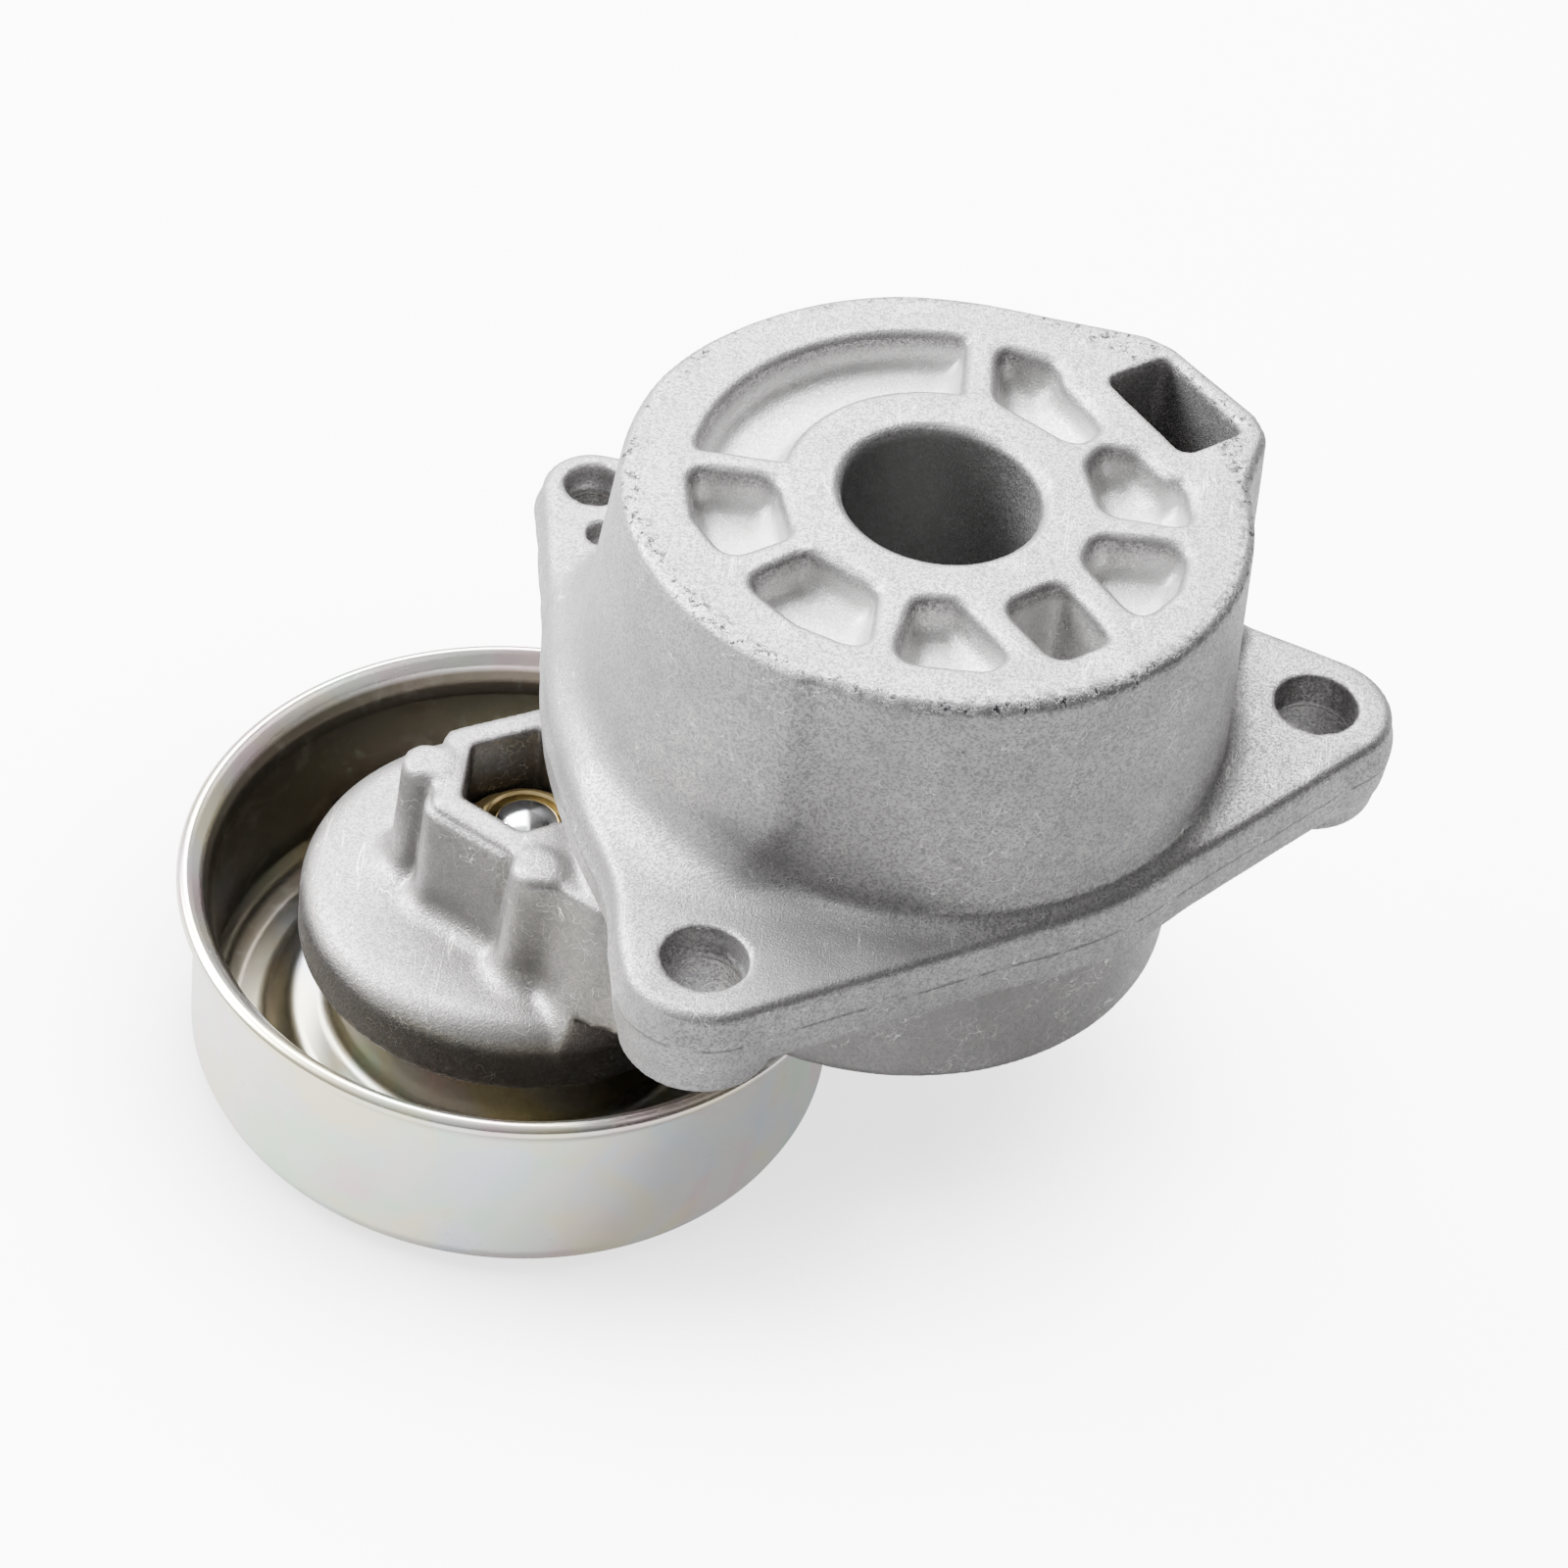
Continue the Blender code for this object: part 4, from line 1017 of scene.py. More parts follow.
@dataclass
class SpringHousing:
    """The die-cast housing: spring cup, lobe, pockets, and the flange with its three ears."""

    top: float = 28.0
    radius: float = 32.0
    flare: float = 1.3
    skirt: float = 2.2
    skirt_start: float = 128.0
    crease: float = 252.0
    crease_lean: float = 4.0
    flange_under: float = -8.5
    ear_under: float = -11.5
    parting: float = -4.0
    pocket_depth: float = 4.5
    deep_pocket: float = 10.5
    inner_r: float = 16.4
    outer_r: float = 25.4
    bore_r: float = 10.2
    ears: tuple[tuple[float, float, float, float], ...] = (
        (-36.6, 26.5, 5.6, 3.3), (-17.3, -42.4, 8.3, 4.35), (42.8, 7.0, 8.2, 4.35))
    pin_hole: tuple[float, float, float] = (-34.7, 18.8, 1.9)
    foot_r: float = 34.9
    hub_r: float = 14.6
    shaft_r: float = 10.1
    cavity_r: float = 29.15
    cavity_top: float = 14.0
    groove_r: float = 29.0
    slot_angle: float = 39.5
    slot_r: float = 29.9
    slot_half: Point = (4.0, 6.7)
    nicks: int = 55
    cell: float = 0.52

    def end_outline(self) -> Outline:
        """Outline of the closed end: a circle with the lobe that holds the spring slot."""
        lobe = [(31.2, 8.2), (32.9, 16.2), (31.6, 19.4), (22.6, 28.7), (19.6, 30.2)]
        return softened_plan(lobe + arc(self.radius, 84.0, 368.0, 140), 3.6)

    def flange_outline(self) -> Outline:
        """Outline of the flange, run round the ears and the cup."""
        left, front, right = (ear[:3] for ear in self.ears)
        return belt([right, (0.0, 0.0, 29.5), left, (0.0, 0.0, 37.4), front, (0.0, 0.0, 35.3)])

    def pocket_outlines(self) -> list[tuple[Outline, float, float]]:
        """Outline, depth and corner radius of each pocket in the closed end."""
        out, inner = self.outer_r, self.inner_r
        start_out, start_in = math.degrees(math.acos(1.0 / out)), math.degrees(math.acos(1.0 / inner))
        end_out, end_in = 180 - math.degrees(math.asin(2.0 / out)), 180 - math.degrees(math.asin(2.0 / inner))
        curved = arc(out, start_out, end_out, 30) + arc(inner, end_in, start_in, 24)
        short = [
            [(-26.0, -1.0), (-24.4, -8.8), (-20.6, -14.2), (-14.3, -9.2), (-16.6, -0.9)],
            [(-18.8, -17.2), (-12.7, -22.4), (-5.5, -25.0), (-5.0, -15.5), (-12.4, -11.2)],
            [(-3.0, -25.9), (6.4, -25.4), (8.7, -22.6), (3.1, -15.7), (-1.6, -16.3)],
            [(21.0, -15.4), (24.6, -9.5), (25.8, -2.7), (15.8, -3.2), (14.8, -7.4)],
            [(16.6, 0.4), (25.9, 0.0), (24.7, 6.9), (22.6, 7.3), (19.6, 10.8), (15.9, 11.0), (14.4, 7.6)],
            [(13.2, 10.4), (16.0, 14.2), (11.4, 20.4), (10.6, 23.5), (4.0, 25.2), (4.5, 16.0)],
        ]
        deep = [(13.0, -22.9), (18.6, -18.3), (13.0, -10.6), (7.2, -15.9)]
        return ([(curved, self.pocket_depth - 0.4, 3.0), (deep, self.deep_pocket, 2.3)]
                + [(corners, self.pocket_depth, 2.5) for corners in short])

    def wall_spread(self, grid: CastingGrid) -> np.ndarray:
        """How far the drafted wall stands out from the closed end's outline, over the grid."""
        drop = np.clip((self.top - grid.z) / (self.top - 2.8), 0.0, 1.1)
        angle = grid.angle()
        lean = self.crease + self.crease_lean * np.clip(1.0 - grid.z / self.top, 0.0, 1.0)
        front = smooth_share((lean - angle) / (4.5 + 9.0 * smooth_share((12.0 - grid.z) / 12.0)))
        back = smooth_share((angle - self.skirt_start) / 34.0)
        skirt = front * back * (0.36 + 0.5 * np.clip((27.0 - grid.z) / 18.0, 0.0, 1.0))
        near_crease_foot = smooth_share((angle - 218.0) / 30.0) * smooth_share((10.0 - grid.z) / 10.0)
        skirt = skirt * (1.0 - 0.4 * near_crease_foot)
        return self.flare * drop + self.skirt * skirt

    def flange_field(self, grid: CastingGrid) -> np.ndarray:
        """Distance field of the flange with its ear pads."""
        plan = grid.plan(self.flange_outline())
        waist = np.exp(-((grid.x + 28.6) ** 2 + (grid.y + 33.0) ** 2) / (2.0 * 4.6 ** 2))
        plan = plan + 1.25 * waist
        bulge = 0.35 * (1.0 - np.abs(grid.z - self.parting) / 4.4)
        wavy = 0.85 + 0.15 * np.sin(grid.y * 0.9 + np.sin(grid.y * 0.63))
        flash = 0.5 * wavy * np.exp(-(((grid.z - self.parting) / 0.65) ** 2))
        flash = flash * smooth_share((-16.0 - grid.x) / 5.0)
        plate = rounded_overlap(plan - bulge - flash, grid.between(self.flange_under, 0.0), 1.1)
        for x, y, radius, _ in self.ears:
            pad = rounded_overlap(grid.disc(radius - 0.1, (x, y)) - bulge,
                                  grid.between(self.ear_under, -2.5), 0.9)
            plate = fillet_union(plate, pad, 1.2)
        return plate

    def field(self, grid: CastingGrid) -> np.ndarray:
        """Distance field of the whole casting."""
        end = grid.plan(self.end_outline())
        wall = rounded_overlap(end - self.wall_spread(grid), grid.z - self.top, 1.0)
        wall = np.maximum(wall, self.flange_under + 0.6 - grid.z)
        foot = rounded_overlap(grid.disc(self.foot_r), grid.between(self.flange_under, -0.2), 0.8)
        angle = grid.angle()
        left = smooth_share((angle - 140.0) / 25.0) * smooth_share((262.0 - angle) / 25.0)
        solid = fillet_union(wall, foot, 1.8)
        solid = fillet_union(solid, self.flange_field(grid), 1.5 + 4.5 * left)
        beside_pads = np.minimum.reduce([grid.disc(radius + 1.2, (x, y)) for x, y, radius, _ in self.ears])
        solid = np.maximum(solid, np.minimum(self.flange_under - grid.z, beside_pads))
        return self.hollowed(grid, solid)

    def hollowed(self, grid: CastingGrid, solid: np.ndarray) -> np.ndarray:
        """Take out the pockets, slot, bore, holes and the spring's space.

        Args:
            grid: The grid.
            solid: Distance field of the outside.

        Returns:
            The finished distance field.
        """
        for outline, depth, corner in self.pocket_outlines():
            floor = self.top - depth
            draft = np.clip((grid.z - floor) / depth, 0.0, 1.2) * 0.9 - 0.85
            walls = grid.plan(softened_plan(outline, corner)) - draft
            solid = cut(solid, rounded_overlap(walls, floor - grid.z, 1.9), 0.9)
        slot = grid.plan(self.slot_outline())
        solid = cut(solid, np.maximum(slot, 2.0 - grid.z), 0.5)
        widen = np.clip(grid.z - (self.top - 0.8), 0.0, 3.0)
        solid = cut(solid, np.maximum(grid.disc(self.bore_r) - widen, 8.0 - grid.z), 0.25)
        for x, y, radius in [(ear[0], ear[1], ear[3]) for ear in self.ears] + [self.pin_hole]:
            burr = 0.5 * np.exp(-(((grid.z - self.parting - 0.6) / 0.55) ** 2))
            solid = cut(solid, grid.disc(radius, (x, y)) + burr + 0 * grid.z, 0.35)
        hub = np.maximum(grid.disc(self.hub_r), -2.0 - grid.z)
        roof = grid.z - self.cavity_top
        cavity = rounded_overlap(grid.disc(self.cavity_r) + 0 * grid.z, roof, 1.5)
        cavity = np.maximum(np.maximum(cavity, -hub), roof)
        socket = np.maximum(grid.disc(self.shaft_r), grid.z - 5.5)
        solid = cut(cut(solid, cavity, 0.5), socket, 0.4)
        angle = grid.angle()
        groove = np.maximum(np.abs(grid.disc(self.groove_r)) - 2.2, grid.z + 3.4)
        groove = np.maximum(groove, (np.abs(angle - 167.0) - 29.0) * 0.5)
        return cut(solid, groove, 0.4)

    def nicked(self, grid: CastingGrid, solid: np.ndarray) -> np.ndarray:
        """Dent the edge of the closed end with small nicks from handling.

        Args:
            grid: The grid.
            solid: Distance field of the casting.

        Returns:
            The distance field with the nicks.
        """
        dice = np.random.default_rng(11)
        for _ in range(self.nicks):
            angle = 255.0 + abs(dice.normal(0.0, 34.0))
            size = dice.uniform(0.5, 1.2)
            reach = size - dice.uniform(-0.05, 0.16) - 0.25
            x, y = polar(self.radius - 0.2 + reach * 0.7, angle)
            spot = (x, y, self.top - 0.2 + reach * 0.7)
            part = tuple(slice(max(0, int((c - size - 1.0 - low) / grid.cell)),
                               int((c + size + 1.0 - low) / grid.cell) + 2) for c, low in zip(spot, grid.low))
            gap = np.sqrt((grid.x[part[0]] - spot[0]) ** 2 + (grid.y[:, part[1]] - spot[1]) ** 2
                          + (grid.z[:, :, part[2]] - spot[2]) ** 2) - size
            solid[part] = cut(solid[part], gap, 0.2)
        return solid

    def slot_outline(self) -> Outline:
        """Outline of the rectangular slot for the spring's tang."""
        out = Vector(polar(1.0, self.slot_angle))
        side = Vector((-out.y, out.x))
        a, b = self.slot_half
        corners = [out * self.slot_r + out * u + side * v for u, v in ((-a, -b), (a, -b), (a, b), (-a, b))]
        return softened_plan([(c.x, c.y) for c in corners], 1.4)

    def build(self) -> None:
        """Make the casting and show it."""
        grid = CastingGrid((-44.5, -53.0, -12.6), (53.2, 38.0, 29.6), self.cell)
        distance = self.nicked(grid, self.field(grid) + 0.035 * ripple(grid))
        show(grid.mesh("housing_casting", distance), HOUSING_FINISH, "housing", "cast_aluminium", "housing")


# ------------------------------------------------------------------ the arm

@dataclass
class SwingArm:
    """The die-cast arm: drum, web, hexagonal tower with its posts, and the boss over the bearing."""

    drum_r: float = 30.65
    drum_top: float = -9.1
    drum_under: float = -26.4
    drum_floor: float = -21.8
    tower_top: float = -13.0
    tower_r: float = 11.4
    post_top: float = -12.6
    posts: tuple[Point, ...] = ((-11.0, 0.4), (2.3, -13.1))
    boss_r: float = 23.8
    boss_top: float = -27.5
    boss_under: float = -36.0
    pocket_af: float = 13.6
    pocket_floor: float = -27.6
    hub_r: float = 14.9
    hub_top: float = -4.2
    drum_bore: float = 27.5
    bush_bore: float = 12.3
    bolt_hole: float = 4.3
    lug_r: float = 29.2
    lug_angle: float = 190.0
    cell: float = 0.485

    def web_outline(self) -> Outline:
        """Outline of the web's top face."""
        tower = [polar(self.tower_r, a, PULLEY_AXIS) for a in (90.0, 150.0, 210.0, 270.0)]
        flank = [(-35.6, -22.0), (-33.3, -22.6), (-29.1, -25.2), (-22.5, -26.6), (-14.8, -26.6)]
        drum_side = arc(self.drum_r - 1.6, 240.5, 145.0, 24)
        return softened_plan(tower + flank + drum_side + [(-31.5, 12.0)], 2.0)

    def drum_field(self, grid: CastingGrid) -> np.ndarray:
        """Distance field of the drum before it is bored."""
        return rounded_overlap(grid.disc(self.drum_r), grid.between(self.drum_under, self.drum_top), 0.9)

    def web_field(self, grid: CastingGrid) -> np.ndarray:
        """Distance field of the web, the tower and the raised shoulder beside the drum."""
        down = (self.tower_top - grid.z) / (self.tower_top - self.boss_top)
        east = smooth_share((grid.x - PULLEY_AXIS[0] - 1.0) / 9.0) * smooth_share((-14.0 - grid.y) / 6.0)
        plan = grid.plan(self.web_outline())
        walls = plan - 0.5 * down - 4.0 * east * np.clip(down, 0.0, 1.2) ** 1.3
        boss = grid.disc(self.boss_r - 0.9, PULLEY_AXIS)
        under = np.minimum(self.drum_under + 0.4 - grid.z, np.maximum(boss, self.boss_top - 2.0 - grid.z))
        web = rounded_overlap(rounded_overlap(walls, under, 1.2), grid.z - self.tower_top, 0.7)
        angle = grid.angle(PULLEY_AXIS)
        facing = smooth_share((angle - 193.0) / 6.0) * smooth_share((268.0 - angle) / 6.0)
        step = rounded_overlap(np.maximum(walls - 0.75 * facing, under), grid.z - self.tower_top + 1.0, 0.3)
        web = fillet_union(web, step, 0.4)
        outline = [(-33.3, -10.8), (-30.0, -22.6), (-26.5, -24.8), (-22.0, -20.5), (-25.5, -15.0),
                   (-28.3, -9.0)]
        shoulder = np.maximum(grid.plan(softened_plan(outline, 1.5)), grid.between(-16.0, -9.8))
        return fillet_union(web, shoulder, 1.6)

    def field(self, grid: CastingGrid) -> np.ndarray:
        """Distance field of the whole casting."""
        boss_plan = grid.disc(self.boss_r, PULLEY_AXIS)
        boss = rounded_overlap(boss_plan, grid.z - self.boss_top, 3.6)
        boss = rounded_overlap(boss, self.boss_under - grid.z, 0.8)
        neck = np.maximum(np.maximum(grid.disc(self.drum_r - 0.7), boss_plan + 0.7),
                          grid.between(self.boss_top - 2.0, self.drum_under + 1.0))
        solid = fillet_union(self.drum_field(grid), self.web_field(grid), 1.6)
        for x, y in self.posts:
            place = (PULLEY_AXIS[0] + x, PULLEY_AXIS[1] + y)
            draft = 0.055 * (self.tower_top - grid.z)
            post = rounded_overlap(grid.disc(2.75, place) - draft,
                                   grid.between(self.boss_top - 2.0, self.tower_top), 0.5)
            solid = fillet_union(solid, post, 1.1)
        solid = fillet_union(solid, np.minimum(boss, neck), 2.6)
        for x, y in self.posts:
            place = (PULLEY_AXIS[0] + x, PULLEY_AXIS[1] + y)
            tip = rounded_overlap(grid.disc(2.35, place), grid.between(-16.0, self.post_top), 0.25)
            solid = np.minimum(solid, tip)
        solid = np.minimum(solid, np.maximum(grid.disc(11.8, PULLEY_AXIS), grid.between(-36.6, -34.0)))
        return self.hollowed(grid, solid)

    def hollowed(self, grid: CastingGrid, solid: np.ndarray) -> np.ndarray:
        """Bore the drum and cut the nut pocket.

        Args:
            grid: The grid.
            solid: Distance field of the outside.

        Returns:
            The finished distance field.
        """
        hub = np.maximum(grid.disc(self.hub_r), grid.z - self.hub_top)
        space = rounded_overlap(grid.disc(self.drum_bore), self.drum_floor - grid.z, 1.2)
        solid = cut(solid, np.maximum(space, -hub), 0.5)
        solid = np.minimum(solid, np.maximum(grid.disc(self.hub_r), grid.between(-23.0, self.hub_top)))
        solid = np.maximum(solid, self.bush_bore - np.hypot(grid.x, grid.y))
        solid = cut(solid, np.maximum(grid.disc(14.5), grid.z + 23.4), 0.3)
        pocket = grid.plan(softened_plan(hexagon(self.pocket_af), 0.7))
        solid = cut(solid, np.maximum(pocket, self.pocket_floor - grid.z), 0.45)
        angle = grid.angle()
        lug = np.maximum(np.abs(grid.disc(self.lug_r)) - 1.0, grid.between(-11.0, self.hub_top))
        lug = np.maximum(lug, (np.abs(angle - self.lug_angle) - 5.0) * 0.5)
        solid = np.minimum(solid, lug)
        return np.maximum(solid, self.bolt_hole - np.hypot(grid.x - PULLEY_AXIS[0], grid.y - PULLEY_AXIS[1]))

    def build(self) -> None:
        """Make the casting and show it."""
        grid = CastingGrid((-63.4, -32.2, -37.6), (31.6, 31.6, -3.4), self.cell)
        distance = self.field(grid) + 0.03 * ripple(grid)
        show(grid.mesh("arm_casting", distance), ARM_FINISH, "arm", "cast_aluminium", "tensioner_arm")


# ------------------------------------------------------------------ turned, drawn and wound pieces

@dataclass
class IdlerPulley:
    """The drawn sheet-steel pulley with its rolled lip and stepped web."""

    radius: float = 35.0
    lip_r: float = 37.0
    top: float = -27.6
    under: float = -52.1
    sheet: float = 1.9
    steps: int = 240

    def profile(self) -> Outline:
        """Section of the pulley."""
        inner = self.radius - self.sheet
        seat_under = -47.2
        roll = arc(0.95, 100.0, -75.0, 8, (self.lip_r - 0.95, self.top - 0.95))
        outside = roll + [(self.radius + 0.35, self.top - 2.5), (self.radius, self.top - 3.9)]
        bottom = [(self.radius, self.under + 3.2), (self.radius - 0.9, self.under + 0.95),
                  (self.radius - 3.1, self.under), (26.4, self.under), (23.4, seat_under - 1.4),
                  (16.2, seat_under - 1.4), (16.2, seat_under), (17.8, seat_under), (17.8, -36.9),
                  (19.7, -36.9), (19.7, seat_under + 1.6), (20.8, seat_under + 0.5), (24.2, seat_under + 0.5),
                  (27.0, self.under + self.sheet), (inner - 3.0, self.under + self.sheet),
                  (inner - 0.8, self.under + 2.7), (inner, self.under + 5.0)]
        inside = [(inner, self.top - 4.2), (inner + 0.4, self.top - 2.6), (inner + 1.4, self.top - 1.2),
                  (inner + 2.3, self.top - 0.35)]
        return outside + bottom + inside

    def build(self) -> None:
        """Make the pulley and show it."""
        section = softened(self.profile(), 2.0, 3)
        show(spun_mesh("pulley_shell_drawn", section, self.steps, PULLEY_AXIS, 60.0), PULLEY_FINISH, "pulley",
             "pulley_steel", "pulley_shell")


@dataclass
class PulleyBearing:
    """The sealed ball bearing in the pulley."""

    pitch_r: float = 13.0
    ball_r: float = 2.8
    balls: int = 8
    outer_r: float = 17.5
    bore_r: float = 8.5
    width: float = 10.0
    steps: int = 128

    def ring(self, side: float) -> Outline:
        """Section of a ring; side is 1 for the outer ring and -1 for the inner one."""
        reach = self.ball_r + 0.3
        back = self.outer_r if side > 0 else self.bore_r
        land = self.pitch_r + side * 1.9
        lean = math.degrees(math.acos(1.9 / reach))
        groove = [(self.pitch_r + side * reach * math.cos(math.radians(a)),
                   BEARING_MID + reach * math.sin(math.radians(a)))
                  for a in np.linspace(-lean, lean, 9)]
        top, under = BEARING_MID + self.width / 2, BEARING_MID - self.width / 2
        bevel = 0.5 * side
        return ([(land, under)] + groove + [(land, top), (back - bevel, top), (back, top - 0.5),
                                           (back, under + 0.5), (back - bevel, under)])

    def build(self) -> None:
        """Make the bearing's pieces and show them."""
        for name, side, body in (("bearing_outer_ring", 1.0, "pulley"), ("bearing_inner_ring", -1.0, "arm")):
            show(spun_mesh(name + "_ground", self.ring(side), self.steps, PULLEY_AXIS), BEARING_FINISH, body,
                 "bearing_steel", name)
        top = BEARING_MID + self.width / 2
        for name, face, out in (("rear_seal", top - 0.2, 1.0), ("front_seal", top - self.width + 0.2, -1.0)):
            section = [(11.5, face - 0.35 * out), (11.9, face), (12.4, face), (12.6, face - 0.25 * out),
                       (13.6, face - 0.25 * out), (13.9, face), (14.6, face), (14.6, face - 0.8 * out),
                       (11.5, face - 0.8 * out)]
            show(spun_mesh(name + "_lipped", section, self.steps, PULLEY_AXIS), SEAL_RUBBER, "pulley",
                 "seal_rubber", name)
        self.build_cage()

    def build_cage(self) -> None:
        """Make the cage's two waved halves and the balls."""
        points, faces = [], []
        steps, rows = 128, [(-0.8, -0.45), (0.8, -0.45), (0.8, 0.45), (-0.8, 0.45)]
        for sign in (1.0, -1.0):
            base = len(points)
            for i in range(steps):
                angle = 360.0 * i / steps
                wave = 0.5 - 0.5 * math.cos(math.radians(angle * self.balls))
                height = BEARING_MID + sign * (0.7 + 2.7 * wave ** 0.7)
                for across, up in rows:
                    x, y = polar(self.pitch_r + across, angle, PULLEY_AXIS)
                    points.append(metres(x, y, height + up * sign))
            faces += loft_faces(steps, len(rows), True, base)
        show(closed_mesh("bearing_cage_waved", points, faces), NYLON, "cage", "nylon", "bearing_cage")
        for i in range(self.balls):
            x, y = polar(self.pitch_r, 360.0 * (i + 0.5) / self.balls, PULLEY_AXIS)
            section = [(self.ball_r * math.cos(math.radians(a)), self.ball_r * math.sin(math.radians(a)))
                       for a in range(-90, 91, 10)]
            section = [(max(r, 0.0) if abs(r) > ON_AXIS else 0.0, BEARING_MID + z) for r, z in section]
            show(spun_mesh(f"ball_{i + 1}_round", section, 36, (x, y), 80.0), BEARING_FINISH, "cage",
                 "bearing_steel", f"ball_{i + 1}")


@dataclass
class PulleyFasteners:
    """The bolt, nut, washer and sleeve that clamp the bearing's inner ring to the arm."""

    pocket_floor: float = -27.6
    steps: int = 96

    def build(self) -> None:
        """Make the pieces and show them."""
        top, under = BEARING_MID + 5.0, BEARING_MID - 5.0
        sleeve = softened([(4.4, top), (8.2, top), (8.2, under), (4.4, under)], 0.4)
        show(spun_mesh("bearing_sleeve_turned", sleeve, self.steps, PULLEY_AXIS), BEARING_FINISH, "arm",
             "bearing_steel", "bearing_sleeve")
        face = under - 0.3
        washer = softened([(4.4, face), (13.9, face), (13.9, face - 0.6), (12.0, face - 1.2),
                           (4.4, face - 1.2)], 0.4)
        show(spun_mesh("front_washer_pressed", washer, self.steps, PULLEY_AXIS), CLEAR_ZINC, "arm",
             "clear_zinc", "front_washer")
        self.build_bolt(face - 1.5)
        self.build_nut()

    def build_bolt(self, seat: float) -> None:
        """Make the bolt.

        Args:
            seat: Height of its head's bearing face.
        """
        tip = self.pocket_floor + 9.2
        dome = [(3.6 * math.sin(math.radians(a)), tip - 1.5 * (1.0 - math.cos(math.radians(a))))
                for a in range(0, 91, 9)]
        thread: Outline = []
        height = tip - 2.2
        while height > tip - 11.0:
            thread += [(3.55, height), (4.0, height - 0.45), (4.0, height - 0.6), (3.55, height - 1.05)]
            height -= 1.25
        head = [(4.0, seat), (7.3, seat), (7.8, seat - 0.5), (7.4, seat - 2.0), (6.3, seat - 2.9),
                (2.9, seat - 2.9), (2.75, seat - 2.6), (2.75, seat - 0.9), (0.0, seat - 0.6)]
        section = dome + [(3.65, tip - 1.9)] + thread + head
        show(spun_mesh("pulley_bolt_turned", section, self.steps, PULLEY_AXIS), CLEAR_ZINC, "arm",
             "clear_zinc", "pulley_bolt")

    def build_nut(self) -> None:
        """Make the hexagonal nut with its round locking collar."""
        base = self.pocket_floor + 0.3
        points: list[tuple[float, float, float]] = []
        steps, across = 120, 13.0
        flats = ((7.45, 0.0), (7.45, 5.6), (7.45 - 0.55 * 1.4, 6.3))
        collar = ((5.25, 6.35), (5.2, 7.5), (4.95, 7.95), (4.6, 8.0), (4.35, 7.7), (4.3, 7.0), (4.3, 0.0))
        for radius, height in flats + collar:
            for i in range(steps):
                angle = 360.0 * i / steps
                local = (angle + 30.0) % 60.0 - 30.0
                reach = across / 2.0 / math.cos(math.radians(local))
                x, y = polar(min(reach, radius), angle, PULLEY_AXIS)
                points.append(metres(x, y, base + height))
        faces = loft_faces(len(flats + collar), steps, True)
        show(closed_mesh("pulley_nut_collared", points, faces), YELLOW_ZINC, "arm", "yellow_zinc",
             "pulley_nut")


